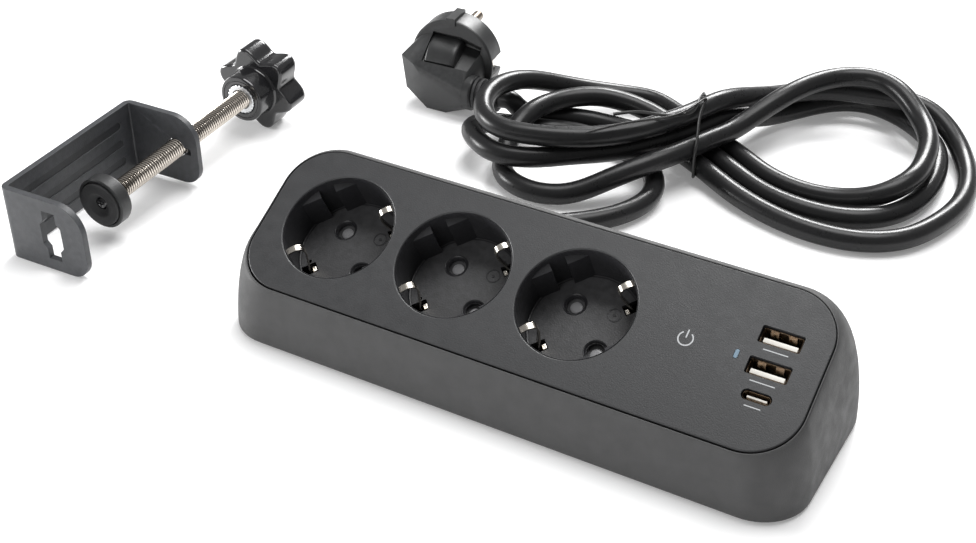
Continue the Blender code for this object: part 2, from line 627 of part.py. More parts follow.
def build_leads():
    radius = CORE_RADIUS
    live = [(20, 7.5, -24.4), (30, 4, -24.4), (42, 0, -24), (56, -1, -22.5), (68, -2, -20.4)]
    neutral = [(33.5, -5.9, -24.4), (42, -6.5, -24.4), (54, -7, -23), (64, -12, -20.6), (69, -13, -20.4)]
    for name, knots, finish in (("usb_live_lead", live, "core_brown"),
                                ("usb_neutral_lead", neutral, "core_blue")):
        path = smooth_path([deck_point(*(c * MM for c in k)) for k in knots], 4 * MM)
        solid(name, [swept(path, radius, 8)], finish)
    cores = {
        "live_core": ([(-43, 25.2, 15), (-45, 21, 13), (-48, 17.5, 14), (-50, 16.5, 15.5)], "core_brown"),
        "neutral_core": ([(-41, 25.2, 12), (-42.5, 18, 8.5), (-43, 11, 7.5), (-43, 6, 9)], "core_blue"),
        "earth_core": ([(-38.4, 25.2, 14), (-39, 20, 11), (-39.5, 14.5, 11), (-39.5, 12, 14)], "core_green"),
    }
    for name, (knots, finish) in cores.items():
        path = smooth_path([Vector(k) * MM for k in knots], 3 * MM)
        solid(name, [swept(path, radius, 8)], finish)


# ---------------------------------------------------------------- cable and plug

# The bends the cable is laid through, in millimetres: left lobe, right lobe, three times over.
ON_DESK = 4.5
CABLE_BENDS = (
    # from the grommet round to the left lobe's inside
    (-40, 26, 14), (-40, 40, 14), (-40, 50, 14), (-40, 58, 14), (-39.8, 63, 13.2), (-38, 73, 9),
    (-31, 84.5, 5.3),
    (-20, 96, ON_DESK),
    (-12, 108, ON_DESK), (-9, 120, ON_DESK), (-12, 133, ON_DESK), (-22, 145, ON_DESK),
    (-40, 152, ON_DESK), (-58, 153.5, ON_DESK), (-74.5, 148.5, ON_DESK), (-87.5, 138.5, 8),
    # first left bend, over the third turn and to the tie's middle layer
    (-90.5, 125.5, 11.5), (-82.5, 114.5, 13.2), (-70.5, 109, 13.4), (-58, 111.5, 13.4), (-44, 121, 13.8),
    (-29, 133, 14.2), (-17, 147, 15.1), (-9, 161, 15.1), (-3, 175, 15.1),
    # first right bend
    (3, 190, 11), (9, 206, 6), (17, 221, ON_DESK), (28, 234, ON_DESK), (40, 239.5, ON_DESK),
    (54, 236.5, ON_DESK), (67, 228, ON_DESK), (77, 216, ON_DESK), (82, 202, ON_DESK),
    (84, 185, ON_DESK), (82, 168, ON_DESK), (74, 153, ON_DESK), (61, 145, ON_DESK),
    (45, 143.5, ON_DESK), (27, 148, ON_DESK), (11, 156, 5.6), (-1, 162.8, 6.2), (-12, 169.3, 6.2),
    # second left bend
    (-24, 175.5, 7), (-34, 177.5, 9), (-44.5, 177, 11), (-54.5, 173.5, 12.8), (-63.5, 167, 13.4),
    (-71.5, 155.5, 13.5), (-74.5, 142.5, 13.2), (-75, 130.5, 9.5), (-72.5, 119, 5.2), (-67.5, 110, ON_DESK),
    (-59.5, 104.5, ON_DESK), (-49, 103, ON_DESK), (-37, 107, 5.5), (-26, 116, 9.6), (-15, 128, 13.8),
    (-6, 143, 15.1), (1, 160, 15.1), (5, 170, 15.1),
    # second right bend, over the others
    (9, 180, 17), (16, 195, 21), (24, 212, 22.6), (35, 225, 22.6), (47, 228, 22.6), (59, 223, 21),
    (69, 214, 17.5), (77, 200, 16), (80, 184, 14.4), (78.5, 169, 13.4), (71, 160, 10), (58, 156.5, 6),
    (41, 156, ON_DESK), (22, 161, 5.2), (8.5, 168.4, 6.2), (-3.5, 174.8, 6.4), (-13, 180, 7),
    # third left bend, outermost
    (-27, 187.5, 6.6), (-39, 192, 7), (-50, 190, 7.5), (-61.5, 183.5, 9.5), (-74, 172, 14.5),
    (-84, 156, 21.2), (-88, 140, 23.6), (-85.5, 125.5, 23.2), (-78.5, 117, 22.4), (-70, 113.5, 22.2),
    (-57, 115, 22.2), (-40, 122, 22.4), (-25, 134, 23), (-14.8, 147, 24), (-8.5, 161, 24), (-3, 175, 24),
    # third right bend
    (3, 190, 20.6), (9, 206, 15.6), (16, 218, 13.4), (26, 226, 13.4), (38, 230, 13.4), (52, 233, 13.4),
    (66, 233.5, 12.2), (80, 226, 8), (90, 212, 4.8), (96, 196, ON_DESK), (98, 178, ON_DESK),
    (94, 158, ON_DESK), (85, 141, ON_DESK), (71, 132, ON_DESK), (54, 130, ON_DESK),
    (36, 133.5, ON_DESK), (17, 141, 5.4), (0, 151, 6.2), (-13, 158.5, 6.2),
    # tail to the plug
    (-25, 164.5, 5.4), (-40, 167, ON_DESK), (-54, 166.5, ON_DESK), (-67, 163, 4.8), (-79, 158, 4.9),
    (-85.5, 155.2, 8.2),
)
TIE_CENTRE = Vector((-6.4, 164.2, 15)) * MM
TIE_HEADING = math.radians(-73)
TIE_WIRE = 0.65 * MM
TIE_REACH = 40 * MM                 # strands further than this from the centre aren't tied
TIE_TAILS = (((-6.5, 149, 29.4), (-15.3, 142, 29.8), (-25.2, 141.3, 28.6), (-33.5, 137.7, 27)),
             ((-7.5, 146.5, 31), (-17, 136, 30), (-26.5, 128, 29), (-36, 119, 27)))
RELIEF_MOUTHS = (31, 26, 20, 14, 7)  # the cable's last knots, sideways from the plug's axis


def plug_frame():
    return Matrix.Translation(PLUG_FACE) @ Matrix.Rotation(PLUG_HEADING, 4, "Z")


def relief_mouth(reach):
    """A point on the bend relief's axis, reach from the plug's own axis."""
    return plug_frame() @ Vector((reach, -PLUG_RELIEF_BACK, -PLUG_RELIEF_DROP))


def cable_path(spacing):
    knots = [Vector(k) * MM for k in CABLE_BENDS]
    knots += [relief_mouth(reach * MM) for reach in RELIEF_MOUTHS]
    return smooth_path(knots, spacing)


def build_cable():
    solid("power_cable", [swept(cable_path(12 * MM), CABLE_RADIUS, 8)], "cable_jacket")
    to_y = Matrix.Rotation(math.radians(-90), 4, "X")
    bore = CABLE_RADIUS + GAP
    profile = ((bore, -8.5), (7.4, -8.5), (7.4, -6.6), (6.0, -6.6), (6.0, 0.6), (7.8, 0.6), (7.8, 2.0),
               (6.6, 2.4), (5.8, 8), (bore, 8))
    profile = [(r if r is bore else r * MM, z * MM) for r, z in profile]
    grommet = shifted(moved(turned(profile, 18, True), to_y), CABLE_EXIT)
    solid("cable_grommet", [grommet], "rubber")

    bridge = box((-11.5 * MM, -3 * MM, 0), (11.5 * MM, 3 * MM, 2.4 * MM))
    base = (CABLE_EXIT.x, CORD_POST_Y, CORD_BRIDGE_Z)
    clamp = solid("cord_clamp", [bridge], "insert_plastic", place=base)
    holes = [prism(circle(1.8 * MM, 10, (side * CORD_POST_X, 0)), -1 * MM, 4 * MM) for side in (-1, 1)]
    combine(clamp, solid("cord_clamp_holes", holes, place=base), "DIFFERENCE")
    for k, side in enumerate((-1, 1), 1):
        place = (CABLE_EXIT.x + side * CORD_POST_X, CORD_POST_Y, CORD_BRIDGE_Z + 2.7 * MM)
        build_screw(f"cord_clamp_screw_{k}", place, 2.7 * MM, 1.6 * MM, 12 * MM, -1)


def convex(points):
    """The convex outline of flat points, counter-clockwise."""
    outline = []
    for run in (sorted(points), sorted(points, reverse=True)):
        half = []
        for x, y in run:
            while len(half) > 1:
                (ax, ay), (bx, by) = half[-2:]
                if (bx - ax) * (y - ay) - (by - ay) * (x - ax) > 0:
                    break
                half.pop()
            half.append((x, y))
        outline += half[:-1]
    return outline


def tie_loop():
    """A turn of wire round every strand of the cable where it crosses the tie's upright plane."""
    across = Vector((math.cos(TIE_HEADING), math.sin(TIE_HEADING), 0))
    along = Vector((-across.y, across.x, 0))
    clear = CABLE_RADIUS + TIE_WIRE + 2 * GAP
    touched = []
    path = cable_path(2 * MM)
    for start, end in zip(path, path[1:]):
        before, after = ((p - TIE_CENTRE).dot(along) for p in (start, end))
        if before * after < 0:
            middle = start.lerp(end, before / (before - after)) - TIE_CENTRE
            slant = abs((end - start).normalized().dot(along))
            if middle.length < TIE_REACH:
                touched += [(middle.dot(across) + clear / slant * x, middle.z + clear * z)
                            for x, z in circle(1, 16)]
    outline = convex(touched)
    top = max(range(len(outline)), key=lambda i: outline[i][1])
    outline = outline[top:] + outline[:top]
    loop = []
    for i, (x, z) in enumerate(outline):
        turn = 2 * i / (len(outline) - 1) - 1
        aside = along * 1.5 * TIE_WIRE * turn ** 9      # the two ends pass beside each other
        loop.append(TIE_CENTRE + across * x + Vector((0, 0, z)) + aside)
    return loop


def build_tie():
    tails = [[Vector(p) * MM for p in tail] for tail in TIE_TAILS]
    path = tails[0][::-1] + tie_loop() + tails[1]
    solid("wire_tie", [swept(smooth_path(path, 3 * MM), TIE_WIRE, 6)], "tie_wire")


def build_plug():
    frame = empty("plug", PLUG_FACE, (0, 0, PLUG_HEADING))
    to_back = Matrix.Rotation(math.radians(90), 4, "X")     # profile height runs back from the face
    face = turned(((PLUG_RADIUS - 0.8 * MM, 0), (PLUG_RADIUS, 0.8 * MM), (PLUG_RADIUS, 10 * MM),
                   (PLUG_RADIUS - 1.2 * MM, 11.2 * MM)), 40)
    body = solid("plug_body", [moved(face, to_back)], "plug_plastic", frame)
    # the faceted back stretches from inside the disc to these corners and to the spout
    corners = ((-20, -19, 3), (-18, -19, -12), (-7, -21.8, -18.8), (2.2, -22.4, -18.8), (11, -15.4, -18.4),
               (-9, -24, -2), (-13, -22.6, 1.5))
    stretch = [Vector(c) * MM for c in corners]
    stretch += [Vector((x, -6 * MM, z)) for x, z in circle(PLUG_RADIUS - 1.5 * MM, 24)]
    mouth = PLUG_SPOUT - 4 * MM
    stretch += [Vector((mouth, y - PLUG_RELIEF_BACK, z - PLUG_RELIEF_DROP)) for y, z in circle(7.8 * MM, 16)]
    combine(body, solid("plug_back", [hull(stretch)], parent=frame), "UNION")
    to_x = Matrix.Rotation(math.radians(90), 4, "Y")
    spout = turned(((7.8 * MM, 4 * MM), (7.8 * MM, PLUG_SPOUT - 0.6 * MM), (7.2 * MM, PLUG_SPOUT)), 24)
    spout = shifted(moved(spout, to_x), (0, -PLUG_RELIEF_BACK, -PLUG_RELIEF_DROP))
    combine(body, solid("plug_spout", [spout], parent=frame), "UNION")
    rib = box((-2 * MM, -12 * MM, PLUG_RADIUS - 2 * MM), (2 * MM, -0.6 * MM, PLUG_RADIUS + 1.4 * MM))
    combine(body, solid("plug_rib", [rib], parent=frame), "UNION")
    bore = CABLE_RADIUS + GAP
    cuts = [moved(prism(circle(PIN_RADIUS + GAP, 14, (0, side * PIN_OFFSET)), -1 * MM, 6 * MM), to_back)
            for side in (-1, 1)]
    for side in (-1, 1):
        low, high = sorted((side * 15.6 * MM, side * (PLUG_RADIUS + 1 * MM)))
        cuts.append(box((low, -10 * MM, -3.6 * MM), (high, 1 * MM, 3.6 * MM)))
    socket = turned(((bore, 6 * MM), (bore, PLUG_SPOUT + 1 * MM)), 18)
    cuts.append(shifted(moved(socket, to_x), (0, -PLUG_RELIEF_BACK, -PLUG_RELIEF_DROP)))
    combine(body, solid("plug_cuts", cuts, parent=frame), "DIFFERENCE")

    for k, side in enumerate((-1, 1), 1):
        profile = ((1.2 * MM, PIN_LENGTH), (PIN_RADIUS, PIN_LENGTH - 1.6 * MM), (PIN_RADIUS, -5.5 * MM))
        pin = moved(turned(profile, 16), Matrix.Rotation(math.radians(-90), 4, "X"))
        solid(f"plug_pin_{k}", [pin], "nickel", frame, place=(0, 0, side * PIN_OFFSET))
        low, high = sorted((side * 15.9 * MM, side * 16.7 * MM))
        strip = box((low, -9.7 * MM, -2.6 * MM), (high, -0.6 * MM, 2.6 * MM))
        solid(f"plug_earth_contact_{k}", [strip], "nickel", frame)

    foot = PLUG_SPOUT + GAP
    ribs = [(RELIEF_RADIUS, foot)]
    for k in range(RELIEF_RIBS):
        start = foot + (0.5 + k) * RELIEF_PITCH
        radius = RELIEF_RADIUS - 0.25 * MM * k
        ribs += [(radius - 1 * MM, start), (radius - 1 * MM, start + 0.35 * RELIEF_PITCH),
                 (radius, start + 0.45 * RELIEF_PITCH), (radius, start + 0.95 * RELIEF_PITCH)]
    ribs += [(bore, ribs[-1][1]), (bore, foot)]
    relief = shifted(moved(turned(ribs, 20, True), to_x), (0, -PLUG_RELIEF_BACK, -PLUG_RELIEF_DROP))
    solid("plug_bend_relief", [relief], "rubber", frame)


# ---------------------------------------------------------------- desk clamp

def bend_arc(centre, radius, start, end, steps=5):
    angles = [math.radians(start + (end - start) * k / steps) for k in range(steps + 1)]
    return [(centre[0] + radius * math.cos(a), centre[1] + radius * math.sin(a)) for a in angles]


def corner_cut(x, z, side, radius, y0, y1):
    """Rounds off one corner of a flange: the bit outside a quarter circle."""
    arc = [(x - radius + radius * math.cos(t), z - side * radius + side * radius * math.sin(t))
           for t in (math.radians(90 * k / 6) for k in range(7))]
    reach = 2 * MM
    outline = [(x + reach, z - side * radius), *arc, (x - radius, z + side * reach), (x + reach, z + side * reach)]
    rings = [[(px, y, pz) for px, pz in outline] for y in (y0, y1)]
    return loft(rings)


def build_bracket(clamp):
    """A U of sheet steel: local +Y along the spine, +X along the flanges, +Z across the width."""
    sheet, bend, spine = BRACKET_SHEET, BRACKET_BEND, BRACKET_SPINE
    line = [(BRACKET_FAR, spine)]
    line += bend_arc((bend, spine - bend), bend, 90, 180)
    line += bend_arc((bend, bend), bend, 180, 270)
    line += [(BRACKET_NEAR, 0)]
    bracket = solid("clamp_bracket", [bent_strip(line, sheet, 0, BRACKET_WIDTH)], "powder_coat", clamp)
    cuts = []
    for length, y0, y1 in ((BRACKET_NEAR, -1 * MM, 6 * MM), (BRACKET_FAR, spine - 6 * MM, spine + 1 * MM)):
        cuts.append(corner_cut(length, BRACKET_WIDTH, 1, 11 * MM, y0, y1))
        cuts.append(corner_cut(length, 0, -1, 8 * MM, y0, y1))
    middle = BRACKET_WIDTH / 2
    slot_x = 22.0 * MM
    wide, narrow, mid_half, end_half = 4.6 * MM, 2.9 * MM, 4.4 * MM, 10.2 * MM
    side = [(narrow, -end_half), (narrow, -mid_half - 1.6 * MM), (wide, -mid_half + 0.2 * MM),
            (wide, mid_half - 0.2 * MM), (narrow, mid_half + 1.6 * MM), (narrow, end_half)]
    slot = [(slot_x + x, middle + z) for x, z in side] + [(slot_x - x, middle + z) for x, z in reversed(side)]
    cuts.append(loft([[(x, y, z) for x, z in slot] for y in (-1 * MM, 6 * MM)]))
    hole = prism(circle(SPINDLE_RADIUS + GAP, 24), -6 * MM, 1 * MM)
    to_y = Matrix.Rotation(math.radians(-90), 4, "X")
    cuts.append(shifted(moved(hole, to_y), (SPINDLE_OFFSET, spine, middle)))
    combine(bracket, solid("bracket_cuts", cuts, parent=clamp), "DIFFERENCE")
    notch = box((SPINDLE_OFFSET + 3 * MM, spine - 6 * MM, middle - 1.1 * MM),
                (SPINDLE_OFFSET + 6.4 * MM, spine + 1 * MM, middle + 0.9 * MM))
    combine(bracket, solid("bracket_notch", [notch], parent=clamp), "DIFFERENCE")


def knob_outline(steps):
    """Lobed star: the radius swings between lobe tip and valley."""
    outline = []
    for k in range(steps):
        angle = math.tau * k / steps
        swing = (0.5 + 0.5 * math.cos(KNOB_LOBES * angle)) ** 0.8
        radius = KNOB_VALLEY + (KNOB_RADIUS - KNOB_VALLEY) * swing
        outline.append((radius * math.cos(angle), radius * math.sin(angle)))
    return outline


def build_spindle(clamp):
    axis = empty("spindle_axis", (SPINDLE_OFFSET, 0, BRACKET_WIDTH / 2), (math.radians(-90), 0, 0), clamp)
    screw_start = PAD_FACE + PAD_DEPTH + GAP
    nut_depth = 7 * MM
    screw_end = KNOB_HUB_FACE + nut_depth - 0.6 * MM
    bar = turned(((SPINDLE_RADIUS - 0.6 * MM, screw_start), (SPINDLE_RADIUS, screw_start + 0.6 * MM),
                  (SPINDLE_RADIUS, screw_end)), 20)
    solid("clamp_spindle", [bar], "nickel", axis)
    nut_inner = SPINDLE_RADIUS + GAP
    nut = [[(x, y, z) for x, y in line] for line, z in
           ((circle(nut_inner, 18), KNOB_HUB_FACE - 0.4 * MM), (circle(6.4 * MM, 18), KNOB_HUB_FACE - 0.4 * MM),
            (circle(6.4 * MM, 18), KNOB_HUB_FACE + nut_depth), (circle(nut_inner, 18), KNOB_HUB_FACE + nut_depth))]
    solid("knob_nut", [loft_closed(nut)], "zinc", axis)

    star_face = KNOB_HUB_FACE + KNOB_HUB_LENGTH
    star_back = star_face + KNOB_THICKNESS
    pocket = 6.4 * MM + GAP
    hub = turned(((pocket, KNOB_HUB_FACE + nut_depth + GAP), (pocket, KNOB_HUB_FACE),
                  (KNOB_HUB_RADIUS - 0.6 * MM, KNOB_HUB_FACE), (KNOB_HUB_RADIUS, KNOB_HUB_FACE + 0.6 * MM),
                  (KNOB_HUB_RADIUS + 0.9 * MM, star_face + 1 * MM)), 24)
    knob = solid("clamp_knob", [hub], "knob_plastic", axis)
    outline = knob_outline(KNOB_LOBES * 10)
    star = loft([[(x * shrink, y * shrink, z) for x, y in outline] for shrink, z in
                 ((0.93, star_face), (1.0, star_face + 1.2 * MM),
                  (1.0, star_back - 2.2 * MM), (0.88, star_back))])
    turn = Matrix.Rotation(KNOB_TURN, 4, "Z")
    combine(knob, solid("knob_star", [moved(star, turn)], parent=axis), "UNION")

    disc_radius, disc_sink = 8.9 * MM, 2.2 * MM
    cup = turned(((disc_radius + GAP, PAD_FACE + disc_sink), (disc_radius + GAP, PAD_FACE),
                  (PAD_RADIUS, PAD_FACE), (PAD_RADIUS, PAD_FACE + PAD_DEPTH - 0.8 * MM),
                  (PAD_RADIUS - 0.8 * MM, PAD_FACE + PAD_DEPTH)), 32)
    solid("pad_cup", [cup], "plug_plastic", axis)
    sink_bottom = PAD_FACE + disc_sink - GAP
    disc = turned(((2.6 * MM, sink_bottom), (disc_radius, sink_bottom), (disc_radius, PAD_FACE - 0.4 * MM),
                   (disc_radius - 0.6 * MM, PAD_FACE - 1 * MM), (5.6 * MM, PAD_FACE - 1 * MM),
                   (4.6 * MM, PAD_FACE), (2.6 * MM, PAD_FACE + 0.3 * MM)), 32, True)
    solid("pad_disc", [disc], "rubber", axis)
    head = turned(((1.2 * MM, PAD_FACE + 0.2 * MM), (2.2 * MM, PAD_FACE + 0.7 * MM),
                   (2.2 * MM, sink_bottom - 0.1 * MM)), 16)
    solid("pad_screw", [head], "knob_plastic", axis)


def build_clamp():
    clamp = empty("clamp", CLAMP_PLACE, (CLAMP_PROP, 0, CLAMP_TURN))
    build_bracket(clamp)
    build_spindle(clamp)


def main():
    clear_scene()
    deck = empty("deck", (0, 0, DECK_HEIGHT), (DECK_TILT, 0, 0))
    build_base_shell()
    build_top_cover(deck)
    build_fasteners()
    for number in (1, 2, 3):
        build_outlet(number, deck)
    build_conductors(deck)
    build_charger(deck)
    build_leads()
    build_cable()
    build_tie()
    build_plug()
    build_clamp()


main()
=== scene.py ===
"""The looks of a desk power strip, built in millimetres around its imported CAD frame."""

import math

import bmesh
import bpy
import numpy as np
from mathutils import Matrix, Vector


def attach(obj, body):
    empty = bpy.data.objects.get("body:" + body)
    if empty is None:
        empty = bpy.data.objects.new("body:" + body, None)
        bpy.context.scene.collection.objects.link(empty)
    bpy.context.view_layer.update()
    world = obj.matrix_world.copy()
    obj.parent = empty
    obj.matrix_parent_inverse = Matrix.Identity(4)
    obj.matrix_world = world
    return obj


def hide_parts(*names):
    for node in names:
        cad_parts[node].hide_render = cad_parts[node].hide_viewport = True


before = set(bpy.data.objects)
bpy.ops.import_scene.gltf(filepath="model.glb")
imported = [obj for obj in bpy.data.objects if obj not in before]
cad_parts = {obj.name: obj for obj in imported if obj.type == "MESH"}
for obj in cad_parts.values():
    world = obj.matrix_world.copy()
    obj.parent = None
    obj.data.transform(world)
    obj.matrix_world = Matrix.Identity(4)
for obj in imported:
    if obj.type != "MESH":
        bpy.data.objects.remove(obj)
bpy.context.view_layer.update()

MM = 0.001
GAP = 0.3

# The deck is the sloping top; (u, v, w) run along it, up its slope and out of it.
DECK_TILT = math.radians(28.9)
DECK_HEIGHT = 37.2
DECK_HALF = (99.3, 28.35)
DECK_CORNER = 16.8
DECK_THICKNESS = 2.4
SHELL_BOTTOM = 0.8
SHELL_HALF_LENGTH = 104.6
SHELL_FRONT = -27.2
SHELL_BACK = 46.5
SHELL_CORNERS = (17.0, 15.5)
SHELL_ROUNDNESS = 1.65
RIM = 0.6
WALL = 2.2
FLOOR = 1.8
LEDGE = 1.8
OUTLETS_U = (-71.5, -26.5, 18.5)
OUTLET_V = 0.8
OUTLET_TURN = math.radians(135)
WELL_RADIUS = 19.85
WELL_DEPTH = 16.5
INSERT_RADIUS = 19.6
INSERT_WALL = 1.2
INSERT_FLOOR = 2.0
PIN_OFFSET = 9.5
USB_U = 83.4
USB_A_V = (10.4, -0.5)
USB_A_HALF = (6.45, 2.7)
USB_C_V = -10.0
USB_C_HALF = (4.5, 1.55)
LED_PLACE = (72.5, 1.4)
LED_HALF = (0.65, 1.55)
CABLE_RADIUS = 4.2
CABLE_EXIT = Vector((-40, 47, 14))


# ---------------- materials

class Nodes:
    """Small helper for writing a material's node tree."""

    def __init__(self, name):
        self.material = bpy.data.materials.new(name)
        self.material.use_nodes = True
        self.tree = self.material.node_tree
        self.shader = self.tree.nodes["Principled BSDF"]
        self.place = self.add("TexCoord").outputs["Object"]

    def add(self, kind, **settings):
        node = self.tree.nodes.new("ShaderNode" + kind)
        for key, value in settings.items():
            setattr(node, key, value)
        return node

    def link(self, source, target):
        self.tree.links.new(source, target)

    def settle(self, values):
        """Sets inputs of the shader by name."""
        for key, value in values.items():
            self.shader.inputs[key].default_value = value

    def noise(self, size, detail=3.0, stretch=None):
        """Noise between 0 and 1 with features about size millimetres across."""
        node = self.add("TexNoise")
        node.inputs["Scale"].default_value = 1 / (size * MM)
        node.inputs["Detail"].default_value = detail
        place = self.place
        if stretch:
            mapping = self.add("Mapping")
            mapping.inputs["Scale"].default_value = stretch
            self.link(place, mapping.inputs["Vector"])
            place = mapping.outputs["Vector"]
        self.link(place, node.inputs["Vector"])
        return node.outputs["Fac"]

    def ramp(self, value, low, high, to_low=0.0, to_high=1.0):
        node = self.add("MapRange")
        for key, number in (("From Min", low), ("From Max", high), ("To Min", to_low), ("To Max", to_high)):
            node.inputs[key].default_value = number
        self.link(value, node.inputs["Value"])
        return node.outputs["Result"]

    def mix(self, factor, first, second):
        node = self.add("Mix", data_type="RGBA")
        self.link(factor, node.inputs["Factor"])
        for value, slot in ((first, "A"), (second, "B")):
            socket = [s for s in node.inputs if s.name == slot and s.type == "RGBA"][0]
            if isinstance(value, tuple):
                socket.default_value = (*value, 1.0)
            else:
                self.link(value, socket)
        return [s for s in node.outputs if s.type == "RGBA"][0]

    def edges(self, low=0.515, high=0.60):
        """Near 1 on sharp outer edges and 0 on flat or hollow places."""
        return self.ramp(self.add("NewGeometry").outputs["Pointiness"], low, high)

    def bump(self, height, depth):
        """Depth is in millimetres."""
        node = self.add("Bump")
        node.inputs["Distance"].default_value = depth * MM
        self.link(height, node.inputs["Height"])
        return node.outputs["Normal"]


def scaled(colour, factor):
    return tuple(min(1.0, c * factor) for c in colour)


def finish_surface(name, colour, roughness, metallic=0.0, grain=0.35, depth=0.02, mottle=0.12,
                   worn=2.2, wear=0.5, brushed=None, specular=0.5, coat=0.0, hollow=0.6):
    """A moulded, coated or metal finish: mottled colour, uneven roughness, fine grain, worn edges, and
    painted shade that darkens hollow places towards hollow times the colour.
    """
    n = Nodes(name)
    broad = n.noise(14, 4)
    tone = n.mix(broad, scaled(colour, 1 - mottle), scaled(colour, 1 + mottle))
    rubbed = n.add("Math", operation="MULTIPLY")
    n.link(n.edges(), rubbed.inputs[0])
    n.link(n.ramp(n.noise(2.2), 0.3, 0.65, 0.0, wear), rubbed.inputs[1])
    fine = n.noise(grain, 2, brushed)
    speckled = n.mix(n.ramp(fine, 0.35, 0.65), tone, scaled(colour, 1 + mottle))
    lit = n.mix(rubbed.outputs[0], speckled, scaled(colour, worn))
    # painted shade: concave places, where pointiness is low, are darkened towards hollow times the colour
    shade = n.mix(n.edges(0.40, 0.485), scaled(colour, hollow), lit)
    n.link(shade, n.shader.inputs["Base Color"])
    patch = n.ramp(n.noise(5, 3), 0.3, 0.7, roughness * 0.88, min(1.0, roughness * 1.12))
    uneven = n.add("Math", operation="MULTIPLY")
    n.link(patch, uneven.inputs[0])
    n.link(n.ramp(fine, 0.3, 0.7, 0.92, 1.08), uneven.inputs[1])
    n.link(uneven.outputs[0], n.shader.inputs["Roughness"])
    n.link(n.bump(fine, depth), n.shader.inputs["Normal"])
    n.settle({"Metallic": metallic, "Specular IOR Level": specular, "Coat Weight": coat,
              "Coat Roughness": 0.12})
    return n.material


def metal(name, colour, roughness, grain, depth, mottle, worn, **details):
    """A bare metal finish."""
    return finish_surface(name, colour, roughness, 1.0, grain, depth, mottle, worn, **details)


def make_materials():
    return {
        "shell": finish_surface("shell_matte", (0.045, 0.045, 0.0455), 0.62, grain=0.45, depth=0.05),
        "cover": finish_surface("cover_satin", (0.0235, 0.024, 0.0255), 0.46, grain=0.45, depth=0.05),
        "insert": finish_surface("insert_black", (0.016, 0.016, 0.018), 0.40, grain=0.5, depth=0.05),
        "well_floor": finish_surface("well_floor", (0.046, 0.046, 0.048), 0.42, grain=0.5, depth=0.06),
        "shutter": finish_surface("shutter_grey", (0.10, 0.10, 0.103), 0.40),
        "shutter_tip": finish_surface("shutter_tip", (0.34, 0.34, 0.35), 0.30, grain=0.4, depth=0.01,
                                      worn=1.3),
        "white": finish_surface("tongue_white", (0.80, 0.78, 0.73), 0.38, depth=0.008, mottle=0.03, worn=1.1),
        "jacket": finish_surface("cable_satin", (0.012, 0.012, 0.0125), 0.31, grain=0.8, depth=0.001,
                                 mottle=0.2, specular=0.28, hollow=1.0),
        "plug": finish_surface("plug_satin", (0.021, 0.0215, 0.022), 0.40, grain=0.35, depth=0.02,
                               specular=0.38, hollow=1.0),
        "rubber": finish_surface("rubber_matte", (0.026, 0.026, 0.027), 0.78, grain=0.5, depth=0.05),
        "nickel": metal("nickel_bright", (0.66, 0.62, 0.56), 0.24, 0.25, 0.004, 0.06, 1.15),
        "pin": metal("nickel_pin", (0.20, 0.17, 0.14), 0.34, 0.25, 0.004, 0.08, 1.2),
        # The thread's hollows are darkened strongly, and its root gets a dark material: both are painted
        # shade in the valleys.
        "thread": metal("nickel_thread", (0.60, 0.55, 0.49), 0.24, 0.25, 0.003, 0.06, 1.4, hollow=0.12),
        "thread_root_shade": metal("thread_root_painted_shade", (0.09, 0.08, 0.07), 0.35, 0.25, 0.003, 0.1, 1.2),
        "brass": metal("brass_rolled", (0.72, 0.54, 0.27), 0.30, 0.3, 0.01, 0.1, 1.2, brushed=(1, 12, 12)),
        "bronze": metal("port_bronze", (0.30, 0.225, 0.16), 0.30, 0.3, 0.008, 0.1, 1.6),
        "zinc": metal("zinc_dull", (0.60, 0.61, 0.62), 0.40, 0.4, 0.02, 0.1, 1.2),
        "spring": metal("spring_wire", (0.56, 0.56, 0.57), 0.28, 0.2, 0.006, 0.08, 1.2),
        "powder": finish_surface("powder_coat", (0.036, 0.0375, 0.041), 0.46, grain=0.55, depth=0.07,
                                 mottle=0.14, worn=3.0, wear=0.6),
        "knob": finish_surface("knob_gloss", (0.012, 0.012, 0.013), 0.16, grain=0.6, depth=0.006, worn=3.5,
                               coat=0.4),
        "tie": finish_surface("tie_black", (0.014, 0.014, 0.014), 0.38, grain=0.6, depth=0.02),
        "board": finish_surface("solder_mask", (0.03, 0.16, 0.08), 0.4, depth=0.01),
        "component": finish_surface("lacquer", (0.09, 0.075, 0.045), 0.42),
        "core_brown": finish_surface("core_brown", (0.22, 0.09, 0.04), 0.42, depth=0.01),
        "core_blue": finish_surface("core_blue", (0.04, 0.12, 0.42), 0.42, depth=0.01),
        "core_green": finish_surface("core_green", (0.20, 0.42, 0.06), 0.42, depth=0.01),
        "print": finish_surface("print_grey", (0.42, 0.43, 0.44), 0.5, depth=0.01, mottle=0.08, worn=1.1),
        "led": finish_surface("led_pill", (0.14, 0.21, 0.27), 0.30, depth=0.004, mottle=0.08, worn=1.2),
    }


MATERIALS = make_materials()


# ---------------- mesh helpers

def shown(name, data):
    """A new object in the scene."""
    item = bpy.data.objects.new(name, data)
    bpy.context.collection.objects.link(item)
    return item


def raw(name, shapes):
    """An unfinished object, in millimetres, from (points, faces) shapes."""
    work = bmesh.new()
    for points, faces in shapes:
        made = [work.verts.new(p) for p in points]
        for face in faces:
            work.faces.new([made[i] for i in face])
    bmesh.ops.recalc_face_normals(work, faces=work.faces)
    mesh = bpy.data.meshes.new(name)
    work.to_mesh(mesh)
    work.free()
    return shown(name, mesh)


